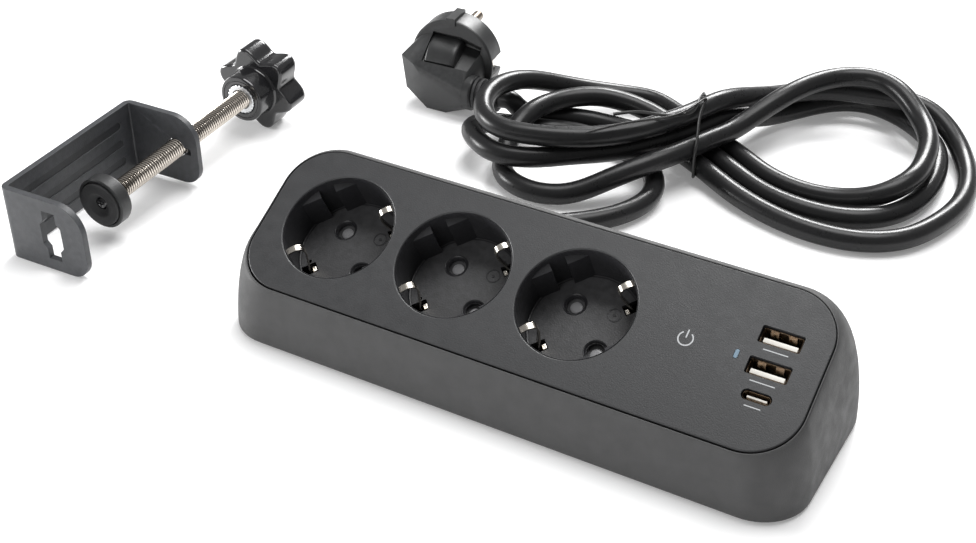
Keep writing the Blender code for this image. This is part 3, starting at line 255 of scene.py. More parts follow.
def piece(name, shapes, look, body="housing", cad=(), add=(), cut=(), bevel=0.0, place=None,
          sharp=30):
    """A finished piece: shapes joined with add, less cut, bevelled, scaled to metres and put in place."""
    item = raw(name, shapes)
    tools = []
    for operation, groups in (("UNION", add), ("DIFFERENCE", cut)):
        for group in groups:
            tool = raw(name + "_tool", group)
            change = item.modifiers.new("cut", "BOOLEAN")
            change.operation = operation
            change.solver = "EXACT"
            change.object = tool
            tools.append(tool)
    if bevel:
        soft = item.modifiers.new("soft", "BEVEL")
        soft.width = bevel
        soft.segments = 2
        soft.limit_method = "ANGLE"
        soft.angle_limit = math.radians(35)
        soft.use_clamp_overlap = True
    bpy.context.view_layer.update()
    evaluated = item.evaluated_get(bpy.context.evaluated_depsgraph_get())
    shaded = bpy.data.meshes.new_from_object(evaluated)
    shaded.shade_smooth()
    shaded.set_sharp_from_angle(angle=math.radians(sharp))
    item.modifiers.clear()
    item.data = shaded
    flat = item.modifiers.new("flat", "WEIGHTED_NORMAL")
    flat.keep_sharp = True
    bpy.context.view_layer.update()
    mesh = bpy.data.meshes.new_from_object(item.evaluated_get(bpy.context.evaluated_depsgraph_get()))
    mesh.transform(Matrix.Scale(MM, 4) @ (place or Matrix.Identity(4)))
    mesh.materials.clear()
    mesh.materials.append(MATERIALS[look])
    bpy.data.objects.remove(item)
    for tool in tools:
        bpy.data.objects.remove(tool)
    made = shown(name, mesh)
    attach(made, body)
    if cad:
        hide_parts(*cad)
    return made


def loft(rings, closed=False):
    """A solid through rings of equal length, capped, or with its last ring meeting its first."""
    count = len(rings[0])
    points = [tuple(p) for ring in rings for p in ring]
    faces = [] if closed else [tuple(range(count)), tuple(range(len(points) - count, len(points)))]
    for level in range(len(rings) if closed else len(rings) - 1):
        start = level * count
        after = (level + 1) % len(rings) * count
        for i in range(count):
            j = (i + 1) % count
            faces.append((start + i, start + j, after + j, after + i))
    return points, faces


def prism(outline, low, high):
    return loft([[(x, y, low) for x, y in outline], [(x, y, high) for x, y in outline]])


def box(low, high):
    (x0, y0, z0), (x1, y1, z1) = low, high
    return prism([(x0, y0), (x1, y0), (x1, y1), (x0, y1)], z0, z1)


def polar(radius, angle, centre=(0, 0)):
    """The point at a distance and an angle from a centre."""
    return centre[0] + radius * math.cos(angle), centre[1] + radius * math.sin(angle)


def circle(radius, steps, centre=(0, 0)):
    return [polar(radius, math.tau * k / steps, centre) for k in range(steps)]


def turned(profile, steps, bored=False):
    """A solid of revolution about Z from (radius, height) pairs."""
    return loft([[(x, y, z) for x, y in circle(r, steps)] for r, z in profile], bored)


def moved(shape, matrix):
    points, faces = shape
    return [tuple(matrix @ Vector(p)) for p in points], faces


def shifted(shape, offset):
    return moved(shape, Matrix.Translation(offset))


def rounded_box(half_x, front, back, radius_front, radius_back, steps):
    """A rectangle's outline with its own corner radius at the front and at the back."""
    corners = ((1, back, radius_back, -1, 0), (-1, back, radius_back, -1, 90),
               (-1, front, radius_front, 1, 180), (1, front, radius_front, 1, 270))
    outline = []
    for side, edge, radius, inward, start in corners:
        for k in range(steps + 1):
            angle = math.radians(start + 90 * k / steps)
            outline.append(polar(radius, angle, (side * (half_x - radius), edge + inward * radius)))
    return outline


def rounded_rect(half_x, half_y, radius, steps, centre=(0, 0)):
    plain = rounded_box(half_x, -half_y, half_y, radius, radius, steps)
    return [(x + centre[0], y + centre[1]) for x, y in plain]


def smooth_path(knots, spacing):
    """Points about one spacing apart on the natural cubic spline through the knots."""
    knots = np.array(knots, float)
    lengths = np.linalg.norm(np.diff(knots, axis=0), axis=1)
    t = np.concatenate(([0.0], np.cumsum(lengths)))
    n = len(t)
    system = np.zeros((n, n))
    right = np.zeros((n, 3))
    system[0, 0] = system[-1, -1] = 1.0
    for i in range(1, n - 1):
        before, after = lengths[i - 1], lengths[i]
        system[i, i - 1:i + 2] = before, 2 * (before + after), after
        right[i] = 6 * ((knots[i + 1] - knots[i]) / after - (knots[i] - knots[i - 1]) / before)
    bend = np.linalg.solve(system, right)
    path = []
    for s in np.linspace(0, t[-1], max(2, round(t[-1] / spacing) + 1)):
        i = min(max(int(np.searchsorted(t, s)) - 1, 0), n - 2)
        h, a, b = lengths[i], t[i + 1] - s, s - t[i]
        path.append(bend[i] * a ** 3 / (6 * h) + bend[i + 1] * b ** 3 / (6 * h)
                    + (knots[i] / h - bend[i] * h / 6) * a + (knots[i + 1] / h - bend[i + 1] * h / 6) * b)
    return [Vector(p) for p in path]


def swept(path, section):
    """A bar along a path; section is an outline of (across, up) points carried without twisting."""
    rings = []
    across = None
    for i, point in enumerate(path):
        ahead = path[min(i + 1, len(path) - 1)] - path[max(i - 1, 0)]
        ahead.normalize()
        if across is None:
            across = ahead.orthogonal().normalized()
        across = (across - ahead * across.dot(ahead)).normalized()
        other = ahead.cross(across)
        rings.append([tuple(point + across * x + other * y) for x, y in section])
    return loft(rings)


def bent_strip(line, thickness, low, high):
    """A flat strip bent along a line of points, thickened to the line's left."""
    rings = []
    for i, p in enumerate(line):
        before = Vector(p) - Vector(line[max(i - 1, 0)])
        after = Vector(line[min(i + 1, len(line) - 1)]) - Vector(p)
        normals = [Vector((-d.y, d.x)).normalized() for d in (before, after) if d.length > 0]
        middle = sum(normals, Vector((0, 0))).normalized()
        q = Vector(p) + middle * thickness / middle.dot(normals[0])
        rings.append([(p[0], p[1], low), (p[0], p[1], high), (q.x, q.y, high), (q.x, q.y, low)])
    return loft(rings)


TO_Y = Matrix.Rotation(math.radians(-90), 4, "X")       # height along +Y
TO_BACK = Matrix.Rotation(math.radians(90), 4, "X")     # height along -Y
TO_X = Matrix.Rotation(math.radians(90), 4, "Y")        # height along +X
DECK = Matrix.Translation((0, 0, DECK_HEIGHT)) @ Matrix.Rotation(DECK_TILT, 4, "X")


# ---------------- housing

SHELL_STEPS = (14, 26)              # round each corner, and up the wall
SCREW_SPOTS = ((-49, -18.5), (-4, -18.5), (52, -17), (52, 19))
FOOT_SPOTS = ((0, 0), (-88, -16), (88, -16), (-88, 33), (88, 33))
POCKET = (-20.0, 12.0, 27.0, 5.0)   # x from, x to, y from, ceiling
SCREW_HEAD_RADIUS = 3.4
SCREW_BORE_RADIUS = 1.9
FOOT_RADIUS = 4.8
CABLE_MOUTH_RADIUS = 6.4
VENTS = 9
VENT_START = (70, 8)
VENT_PITCH = 3.4
FOOT_CHAMFER = 0.17
RIM_CHAMFER = 0.12


def deck_outline(grow, steps):
    return rounded_rect(DECK_HALF[0] + grow, DECK_HALF[1] + grow, DECK_CORNER + grow, steps)


def deck_ring(grow, w):
    return [DECK @ Vector((u, v, w)) for u, v in deck_outline(grow, SHELL_STEPS[0])]


def shell_outline(inset):
    return rounded_box(SHELL_HALF_LENGTH - inset, SHELL_FRONT + inset, SHELL_BACK - inset,
                       SHELL_CORNERS[0] - inset, SHELL_CORNERS[1] - inset, SHELL_STEPS[0])


def wall_rings(inset, low, grow, w):
    """Rings up a wall from the bottom outline to the deck, steep at first and then rounding in."""
    bottom = shell_outline(inset)
    top = deck_ring(grow, w)
    rings = []
    for k in range(SHELL_STEPS[1] + 1):
        turn = math.radians(90) * k / SHELL_STEPS[1]
        rise = math.sin(turn) ** (2 / SHELL_ROUNDNESS)
        lean = 1 - max(math.cos(turn), 0.0) ** (2 / SHELL_ROUNDNESS)
        rings.append([(bx + (t.x - bx) * lean, by + (t.y - by) * lean, low + (t.z - low) * rise)
                      for (bx, by), t in zip(bottom, top)])
    return rings


def build_shell():
    seam = DECK_THICKNESS + GAP
    foot = [[(x, y, SHELL_BOTTOM) for x, y in shell_outline(RIM)],
            [(x, y, SHELL_BOTTOM + FOOT_CHAMFER) for x, y in shell_outline(FOOT_CHAMFER)]]
    rings = foot + wall_rings(0, SHELL_BOTTOM + RIM, RIM, -RIM_CHAMFER)
    rings += [deck_ring(RIM - RIM_CHAMFER, 0), deck_ring(GAP, 0), deck_ring(0.2, -0.1), deck_ring(0.2, -seam)]
    rings += wall_rings(WALL, SHELL_BOTTOM + FLOOR, -LEDGE, -seam)[::-1]
    x0, x1, y0, ceiling = POCKET
    roof = box((x0 - WALL, y0 - WALL, 2.1), (x1 + WALL, SHELL_BACK - 1.5, ceiling + WALL))
    posts = [prism(circle(SCREW_HEAD_RADIUS, 24, spot), 2.1, 9.0) for spot in SCREW_SPOTS]
    pocket = box((x0, y0, -1), (x1, SHELL_BACK + 5, ceiling))
    feet = [prism(circle(FOOT_RADIUS, 40, spot), 0, SHELL_BOTTOM + 1) for spot in FOOT_SPOTS]
    sinks = [prism(circle(SCREW_HEAD_RADIUS, 32, spot), 0, 2.4) for spot in SCREW_SPOTS]
    bores = [prism(circle(SCREW_BORE_RADIUS, 20, spot), 0, 10) for spot in SCREW_SPOTS]
    mouth = shifted(moved(prism(circle(CABLE_MOUTH_RADIUS, 40), -8, 6), TO_Y), CABLE_EXIT)
    stud = [box((-6.5, 35.5, 1.6), (-1.5, 40.5, ceiling + 0.5)), box((-8.2, 35.5, 1), (0.2, 40.5, 2.2))]
    vents = [prism(rounded_rect(0.6, 6, 0.55, 4, (VENT_START[0] + VENT_PITCH * k, VENT_START[1])), 0, 3)
             for k in range(VENTS)]
    piece("shell", [loft(rings)], "shell", cad=["base_shell"], add=[[roof], posts],
          cut=[[pocket, mouth] + feet, sinks, bores, vents])
    piece("stud", [stud[0]], "shell", add=[[stud[1]]], bevel=0.25)


def quarter_edge(grow, radius, top):
    """(grow, w) pairs rolling over an edge from its side to its top."""
    return [polar(radius, math.radians(90 * k / 5), (grow - radius, top - radius)) for k in range(6)]


def build_cover():
    edge = -0.16
    profile = [(edge, -DECK_THICKNESS)] + quarter_edge(edge, 0.5, 0.0)
    set_back = 0.28                  # the seam is wider along the front than along the back
    flat = [[(u, v + set_back, w) for u, v in deck_outline(grow, 20)] for grow, w in profile]
    mouth = ((WELL_RADIUS, -6), (WELL_RADIUS, -0.55), (WELL_RADIUS + 0.12, -0.32),
             (WELL_RADIUS + 0.32, -0.12), (WELL_RADIUS + 0.55, 0), (WELL_RADIUS + 0.55, 2))
    wells = [shifted(turned(mouth, 120), (u, OUTLET_V, 0)) for u in OUTLETS_U]
    ports = [prism(rounded_rect(USB_A_HALF[0] + 0.35, USB_A_HALF[1] + GAP, 0.7, 6, (USB_U, v)), -6, 2)
             for v in USB_A_V]
    half = (USB_C_HALF[0] + 0.35, USB_C_HALF[1] + GAP)
    ports.append(prism(rounded_rect(*half, half[1] - 0.05, 10, (USB_U, USB_C_V)), -6, 2))
    half = (LED_HALF[0] + 0.12, LED_HALF[1] + 0.12)
    ports.append(prism(rounded_rect(*half, half[0] - 0.03, 8, LED_PLACE), -6, 2))
    piece("cover", [loft(flat)], "cover", cad=["top_cover"], cut=[wells, ports], place=DECK)


POWER_PLACE = (56.0, 1.0)
POWER_RADII = (2.6, 2.15)
PRINT = (-0.01, 0.04)               # the print's lower and upper face, out of the deck


def build_marks():
    """Plain printed marks: a power symbol and a short bar below each port."""
    low, high = PRINT
    u0, v0 = POWER_PLACE
    start, end, steps = math.radians(125), math.radians(415), 28
    rings = []
    for k in range(steps + 1):
        turn = start + (end - start) * k / steps
        outer, inner = (polar(radius, turn, POWER_PLACE) for radius in POWER_RADII)
        rings.append([(*outer, low), (*outer, high), (*inner, high), (*inner, low)])
    marks = [loft(rings), box((u0 - 0.22, v0 + 0.3, low), (u0 + 0.22, v0 + 3.2, high))]
    for port, half, drop in ((USB_A_V[0], 4.0, 4.9), (USB_A_V[1], 4.0, 4.9), (USB_C_V, 2.6, 3.6)):
        v = port - drop
        marks.append(box((USB_U - half, v - 0.17, low), (USB_U + half, v + 0.17, high)))
    piece("port_marks", marks, "print", place=DECK)


# ---------------- outlets

GUIDE_FACE = 16.8
GUIDE_INNER = 2.75
GUIDE_OUTER = 10.7
FLOOR_MARK = (0, -10.3)
WELL_FLOOR = -WELL_DEPTH
WELL_UNDER = WELL_FLOOR - INSERT_FLOOR
PIN_SPOTS = ((-PIN_OFFSET, 0), (PIN_OFFSET, 0))
PIN_HOLE_RADIUS = 3.1
COLLAR_SEAT_RADIUS = 3.6


def guide_block(side, wing):
    """A keying block on the well's wall, its top sloping up to the wall."""
    edge = INSERT_RADIUS + INSERT_WALL / 2
    start, end = (math.asin(b / edge) for b in (GUIDE_INNER, GUIDE_OUTER))
    arc = [start + (end - start) * k / 6 for k in range(7)]
    outline = [(GUIDE_FACE, GUIDE_OUTER), (GUIDE_FACE, GUIDE_INNER)]
    outline += [polar(edge, angle) for angle in arc]
    rings = [[(side * a, wing * b, WELL_FLOOR - 0.5) for a, b in outline]]
    rings.append([(side * a, wing * b, -3.5 + 0.35 * (a - GUIDE_FACE)) for a, b in outline])
    return loft(rings)


def floor_cuts():
    """Seats for the collars, the pin holes, and the slots and small holes beside the earth clip's arms."""
    wide = [prism(circle(COLLAR_SEAT_RADIUS, 40, spot), WELL_FLOOR - 0.45, WELL_FLOOR + 1)
            for spot in PIN_SPOTS]
    holes = [prism(circle(PIN_HOLE_RADIUS, 40, spot), WELL_UNDER - 1, WELL_FLOOR + 0.5)
             for spot in PIN_SPOTS]
    slots = []
    for side in (-1, 1):
        low, high = sorted((side * 13.6, side * (INSERT_RADIUS - 0.5)))
        slots.append(box((-2.0, low, WELL_UNDER - 1), (2.0, high, WELL_FLOOR + 1)))
        slots.append(prism(circle(0.7, 20, (3.1, side * 15.4)), WELL_UNDER - 1, WELL_FLOOR + 1))
    return wide, holes, slots


def build_insert(number, place):
    """The well's cup with its guide blocks, and the paler plate on its floor."""
    rim = -DECK_THICKNESS - GAP
    outer = INSERT_RADIUS + INSERT_WALL
    lip = INSERT_RADIUS + 0.15          # a thin lip lines the cover's well
    cup = turned(((outer, WELL_UNDER), (outer, rim), (lip, rim), (lip, -0.5), (INSERT_RADIUS, -0.4),
                  (INSERT_RADIUS, WELL_FLOOR + 0.8), (INSERT_RADIUS - 0.25, WELL_FLOOR + 0.25),
                  (INSERT_RADIUS - 0.8, WELL_FLOOR)), 96)
    blocks = [guide_block(side, wing) for side in (-1, 1) for wing in (-1, 1)]
    wide, holes, slots = floor_cuts()
    piece(f"insert_{number}", [cup], "insert", cad=[f"socket_insert_{number}"], add=[blocks],
          cut=[wide, holes, slots], place=place)
    plate = prism(circle(INSERT_RADIUS - 0.9, 96), WELL_FLOOR - 0.05, WELL_FLOOR + 0.06)
    piece(f"insert_floor_{number}", [plate], "well_floor", cut=[wide, slots], place=place)


def build_floor_details(number, place):
    """A collar round each pin hole, a plain ring mark, and the shutter's tips at the bottom of the holes."""
    profile = ((4.25, -0.5), (4.15, 0.12), (3.95, 0.28), (3.75, 0.22), (3.35, -0.2), (3.1, -0.7))
    collar = turned([(r, WELL_FLOOR + z) for r, z in profile], 40, True)
    low, high = WELL_FLOOR - 0.3, WELL_FLOOR + 0.22
    ring = turned(((2.5, low), (2.5, high), (2.1, high), (2.1, low)), 40, True)
    details = [shifted(collar, (*spot, 0)) for spot in PIN_SPOTS]
    details += [shifted(ring, (*FLOOR_MARK, 0)), prism(circle(0.6, 16, FLOOR_MARK), low, high)]
    piece(f"insert_marks_{number}", details, "insert", place=place)
    dome = turned([(r, WELL_FLOOR - z) for r, z in ((2.1, 2.38), (1.7, 2.2), (0.9, 2.12))], 32)
    tips = [shifted(dome, (*spot, 0)) for spot in PIN_SPOTS]
    piece(f"shutter_tips_{number}", tips, "shutter_tip", f"shutter_body_{number}", place=place)


def build_clip(number, place):
    """The earth strip: two sprung arms, each with a rolled-over tip, joined below the shutter."""
    low = WELL_UNDER - 4.2
    knots = [(19.5, -2.7, 0), (18.2, -2.2, 0), (16.6, -2.1, 0), (15.2, -2.6, 0), (14.5, -4.2, 0),
             (14.8, -8, 0), (15.7, -12, 0), (16.8, -16, 0)]
    arm = [(p.x, p.y) for p in smooth_path(knots, 0.6)] + [(17.0, low)]
    line = [(-b, w) for b, w in arm] + [(b, w) for b, w in reversed(arm)]
    strip = moved(bent_strip(line, 0.6, -1.15, 1.15), Matrix.Rotation(math.radians(90), 4, "Z") @ TO_BACK)
    piece(f"clip_{number}", [strip], "nickel", cad=[f"earth_clip_{number}"], bevel=0.12, place=place)
    feet = []
    for side in (-1, 1):
        near, far = sorted((side * 13.9, side * 15.3))
        feet.append(box((-1.9, near, WELL_FLOOR - 1.4), (0.1, far, WELL_FLOOR + 0.5)))
    piece(f"clip_feet_{number}", feet, "nickel", bevel=0.25, place=place)


def build_outlets():
    for number, u in enumerate(OUTLETS_U, 1):
        place = DECK @ Matrix.Translation((u, OUTLET_V, 0)) @ Matrix.Rotation(OUTLET_TURN, 4, "Z")
        build_insert(number, place)
        build_floor_details(number, place)
        build_clip(number, place)


# ---------------- ports

PORT_BOTTOM = -16.9

def port_tube(half, radius, wall, top, steps, centre):
    """A port's thin metal tube, its mouth flared inwards."""
    outer = rounded_rect(half[0], half[1], radius, steps, centre)
    inner = rounded_rect(half[0] - wall, half[1] - wall, max(radius - wall, 0.15), steps, centre)
    mid = wall / 2
    flare = rounded_rect(half[0] - mid, half[1] - mid, max(radius - mid, 0.2), steps, centre)
    levels = ((outer, PORT_BOTTOM), (outer, top - 0.15), (flare, top), (inner, top - 0.35),
              (inner, PORT_BOTTOM))
    return loft([[(x, y, z) for x, y in line] for line, z in levels], True)


def build_contacts(number, v):
    """A USB-A port's two sprung leaves in its tube and the four pads on its tongue."""
    bow = [(v + 2.35, -1.2), (v + 1.9, -1.8), (v + 1.35, -3.4), (v + 1.5, -5), (v + 2.3, -7.5)]
    fine = [(p.x, p.y) for p in smooth_path([(y, w, 0) for y, w in bow], 0.5)]
    leaf = bent_strip(fine, 0.2, -1.3, 1.3)
    springs = []
    for k in (-1, 1):
        turn = Matrix(((0, 0, 1, USB_U + 2.9 * k), (1, 0, 0, 0), (0, 1, 0, 0), (0, 0, 0, 1)))
        springs.append(moved(leaf, turn))
    piece(f"usb_a_springs_{number}", springs, "bronze", place=DECK)
    pads = [box((USB_U - 3.9 + 2.6 * k, v - 0.32, -9), (USB_U - 2.8 + 2.6 * k, v - 0.2, -2.6))
            for k in range(4)]
    piece(f"usb_a_pads_{number}", pads, "brass", place=DECK)


def build_ports():
    for number, v in enumerate(USB_A_V, 1):
        tube = port_tube(USB_A_HALF, 0.6, 0.35, -1.1, 6, (USB_U, v))
        piece(f"usb_a_shell_skin_{number}", [tube], "bronze", cad=[f"usb_a_shell_{number}"], place=DECK)
        tongue = box((USB_U - 5.5, v - 1.95, PORT_BOTTOM + 0.5), (USB_U + 5.5, v - 0.3, -1.7))
        piece(f"usb_a_tongue_skin_{number}", [tongue], "white", cad=[f"usb_a_tongue_{number}"], bevel=0.2,
              place=DECK)
        build_contacts(number, v)
    tube = port_tube(USB_C_HALF, USB_C_HALF[1] - 0.05, 0.32, -0.6, 10, (USB_U, USB_C_V))
    piece("usb_c_shell_skin", [tube], "bronze", cad=["usb_c_shell"], place=DECK)
    tongue = box((USB_U - 3.2, USB_C_V - 0.35, PORT_BOTTOM + 0.5), (USB_U + 3.2, USB_C_V + 0.35, -1.5))
    piece("usb_c_tongue_skin", [tongue], "white", cad=["usb_c_tongue"], bevel=0.12, place=DECK)
    pill = rounded_rect(LED_HALF[0], LED_HALF[1], LED_HALF[0] - 0.03, 8, LED_PLACE)
    piece("led_pill", [prism(pill, -15, 0.1)], "led", cad=["light_pipe"], bevel=0.12, place=DECK)


# ---------------- cable

ON_DESK = 4.5
CABLE_BENDS = (                     # (x, y) lies on the desk, (x, y, z) is lifted off it
    # from the grommet round to the left lobe's inside
    (-40, 26, 14), (-40, 40, 14), (-40, 50, 14), (-40, 58, 14), (-39.8, 63, 13.2), (-38, 73, 9),
    (-31, 84.5, 5.3), (-20, 96), (-12, 108), (-9, 120), (-12, 133), (-22, 145), (-40, 152), (-58, 153.5),
    (-74.5, 148.5), (-87.5, 138.5, 8),
    # first left bend, over the third turn and to the tie's middle layer
    (-90.5, 125.5, 11.5), (-82.5, 114.5, 13.2), (-70.5, 109, 13.4), (-58, 111.5, 13.4), (-44, 121, 13.8),
    (-29, 133, 14.2), (-17, 147, 15.1), (-9, 161, 15.1), (-3, 175, 15.1),
    # first right bend
    (3, 190, 11), (9, 206, 6), (17, 221), (28, 234), (40, 239.5), (54, 236.5), (67, 228), (77, 216),
    (82, 202), (84, 185), (82, 168), (74, 153), (61, 145), (45, 143.5), (27, 148), (11, 156, 5.6),
    (-1, 162.8, 6.2), (-12, 169.3, 6.2),
    # second left bend
    (-24, 175.5, 7), (-34, 177.5, 9), (-44.5, 177, 11), (-54.5, 173.5, 12.8), (-63.5, 167, 13.4),
    (-71.5, 155.5, 13.5), (-74.5, 142.5, 13.2), (-75, 130.5, 9.5), (-72.5, 119, 5.2), (-67.5, 110),
    (-59.5, 104.5), (-49, 103), (-37, 107, 5.5), (-26, 116, 9.6), (-15, 128, 13.8), (-6, 143, 15.1),
    (1, 160, 15.1), (5, 170, 15.1),
    # second right bend, over the others
    (9, 180, 17), (16, 195, 21), (24, 212, 22.6), (35, 225, 22.6), (47, 228, 22.6), (59, 223, 21),
    (69, 214, 17.5), (77, 200, 16), (80, 184, 14.4), (78.5, 169, 13.4), (71, 160, 10), (58, 156.5, 6),
    (41, 156), (22, 161, 5.2), (8.5, 168.4, 6.2), (-3.5, 174.8, 6.4), (-13, 180, 7),
    # third left bend, outermost
    (-27, 187.5, 6.6), (-39, 192, 7), (-50, 190, 7.5), (-61.5, 183.5, 9.5), (-74, 172, 14.5),
    (-84, 156, 21.2), (-88, 140, 23.6), (-85.5, 125.5, 23.2), (-78.5, 117, 22.4), (-70, 113.5, 22.2),
    (-57, 115, 22.2), (-40, 122, 22.4), (-25, 134, 23), (-14.8, 147, 24), (-8.5, 161, 24), (-3, 175, 24),
    # third right bend
    (3, 190, 20.6), (9, 206, 15.6), (16, 218, 13.4), (26, 226, 13.4), (38, 230, 13.4), (52, 233, 13.4),
    (66, 233.5, 12.2), (80, 226, 8), (90, 212, 4.8), (96, 196), (98, 178), (94, 158), (85, 141),
    (71, 132), (54, 130), (36, 133.5), (17, 141, 5.4), (0, 151, 6.2), (-13, 158.5, 6.2),
    # tail to the plug
    (-25, 164.5, 5.4), (-40, 167), (-54, 166.5), (-67, 163, 4.8), (-79, 158, 4.9), (-85.5, 155.2, 8.2),
)
TIE_CENTRE = Vector((-6.4, 164.2, 15))
TIE_HEADING = math.radians(-73)
TIE_WIRE = 0.65
TIE_REACH = 40                      # strands further than this from the centre aren't tied
TIE_TAILS = (((-6.5, 149, 29.4), (-15.3, 142, 29.8), (-25.2, 141.3, 28.6), (-33.5, 137.7, 27)),
             ((-7.5, 146.5, 31), (-17, 136, 30), (-26.5, 128, 29), (-36, 119, 27)))
RELIEF_MOUTHS = (31, 26, 20, 14, 7)  # the cable's last knots, sideways from the plug's axis
PLUG = Matrix.Translation((-121.5, 170, 19.2)) @ Matrix.Rotation(math.radians(6), 4, "Z")
PLUG_RADIUS = 19.0
PLUG_SPOUT = 15.0
PLUG_RELIEF_BACK = 19.0
PLUG_RELIEF_DROP = 8.2


def relief_mouth(reach):
    return PLUG @ Vector((reach, -PLUG_RELIEF_BACK, -PLUG_RELIEF_DROP))


def cable_path(spacing):
    knots = [Vector((*k, ON_DESK)[:3]) for k in CABLE_BENDS]
    knots += [relief_mouth(reach) for reach in RELIEF_MOUTHS]
    return smooth_path(knots, spacing)


def build_cable():
    jacket = swept(cable_path(2.0), circle(CABLE_RADIUS, 24))
    piece("cable", [jacket], "jacket", cad=["power_cable"], sharp=60)
    bore = CABLE_RADIUS + 0.1
    profile = [(bore, -8.5), (7.4, -8.5), (7.4, -6.6), (6.0, -6.6), (6.0, 0.6), (7.5, 0.6), (7.8, 0.9),
               (7.8, 1.9), (7.5, 2.2), (6.4, 2.3)]
    for k in range(3):
        top = 2.9 + 1.7 * k
        profile += [(5.5 - 0.15 * k, top), (5.5 - 0.15 * k, top + 0.5), (6.2 - 0.15 * k, top + 0.7),
                    (6.2 - 0.15 * k, top + 1.4)]
    profile.append((bore, 8.0))
    sleeve = shifted(moved(turned(profile, 48, True), TO_Y), CABLE_EXIT)
    piece("grommet", [sleeve], "rubber", cad=["cable_grommet"])


def convex(points):
    """The convex outline of flat points, counter-clockwise."""
    outline = []
    for run in (sorted(points), sorted(points, reverse=True)):
        half = []
        for x, y in run:
            while len(half) > 1:
                (ax, ay), (bx, by) = half[-2:]
                if (bx - ax) * (y - ay) - (by - ay) * (x - ax) > 0:
                    break
                half.pop()
            half.append((x, y))
        outline += half[:-1]
    return outline


def tie_loop():
    """A turn of wire round every strand of the cable where it crosses the tie's upright plane."""
    across = Vector((math.cos(TIE_HEADING), math.sin(TIE_HEADING), 0))
    along = Vector((-across.y, across.x, 0))
    clear = CABLE_RADIUS + TIE_WIRE + 0.25
    touched = []
    path = cable_path(2.0)
    for start, end in zip(path, path[1:]):
        before, after = ((p - TIE_CENTRE).dot(along) for p in (start, end))
        if before * after < 0:
            middle = start.lerp(end, before / (before - after)) - TIE_CENTRE
            slant = abs((end - start).normalized().dot(along))
            if middle.length < TIE_REACH:
                touched += [(middle.dot(across) + clear / slant * x, middle.z + clear * z)
                            for x, z in circle(1, 16)]
    outline = convex(touched)
    top = max(range(len(outline)), key=lambda i: outline[i][1])
    outline = outline[top:] + outline[:top]
    loop = []
    for i, (x, z) in enumerate(outline):
        turn = 2 * i / (len(outline) - 1) - 1
        aside = along * 1.5 * TIE_WIRE * turn ** 9      # the two ends pass beside each other
        loop.append(TIE_CENTRE + across * x + Vector((0, 0, z)) + aside)
    return loop


def build_tie():
    tails = [[Vector(p) for p in tail] for tail in TIE_TAILS]
    path = smooth_path(tails[0][::-1] + tie_loop() + tails[1], 0.8)
    flat = [(1.1 * x, 0.75 * y) for x, y in circle(TIE_WIRE, 12)]
    piece("tie", [swept(path, flat)], "tie", cad=["wire_tie"], sharp=60)


# ---------------- desk clamp

SPINE = 74.0
FLANGES = (37.0, 34.0)              # near and far
BRACKET_WIDTH = 30.0
FLANGE_CORNERS = (11.0, 8.0)        # upper and lower
SHEET = 2.5
BEND = 3.2
GROOVE_HEIGHTS = (7.2, 15, 22.8)
SPINDLE_X = 23.5                    # the screw's axis, out from the spine's back
SPINDLE_RADIUS = 3.9
THREAD_PITCH = 1.25
THREAD_DEPTH = 0.75
PAD_FACE = 25.5
PAD_RADIUS = 10.2
PAD_DEPTH = 6.2
HUB_FACE = 116.0
HUB_LENGTH = 9.5
HUB_RADIUS = 10.2
NUT_RADIUS = 6.4
NUT_DEPTH = 7.0
KNOB_RADIUS = 18.2
KNOB_VALLEY = 13.6
KNOB_THICKNESS = 13.0
KNOB_LOBES = 6
KNOB_TURN = math.radians(15)
# the clamp lies on its near edge and on two lobes of its knob, so the screw's axis rises by this much
KNOB_LIFT = KNOB_RADIUS * math.cos(KNOB_TURN) + 0.2 - BRACKET_WIDTH / 2
CLAMP = (Matrix.Translation((-200, -28, 0)) @ Matrix.Rotation(math.radians(1.7), 4, "Z")
         @ Matrix.Rotation(math.asin(KNOB_LIFT / (HUB_FACE + HUB_LENGTH + KNOB_THICKNESS)), 4, "X"))
SPINDLE_AXIS = CLAMP @ Matrix.Translation((SPINDLE_X, 0, BRACKET_WIDTH / 2)) @ TO_Y


def bend_arc(centre, start, end):
    """The sheet's bend about a centre, from one angle to another in degrees."""
    return [polar(BEND, math.radians(start + (end - start) * k / 12), centre) for k in range(13)]


def corner_cut(x, z, side, radius, y0, y1):
    """Rounds off one corner of a flange: the bit outside a quarter circle."""
    arc = [(x - radius + radius * math.cos(t), z - side * radius + side * radius * math.sin(t))
           for t in (math.radians(90 * k / 14) for k in range(15))]
    outline = [(x + 2, z - side * radius), *arc, (x - radius, z + side * 2), (x + 2, z + side * 2)]
    return loft([[(px, y, pz) for px, pz in outline] for y in (y0, y1)])


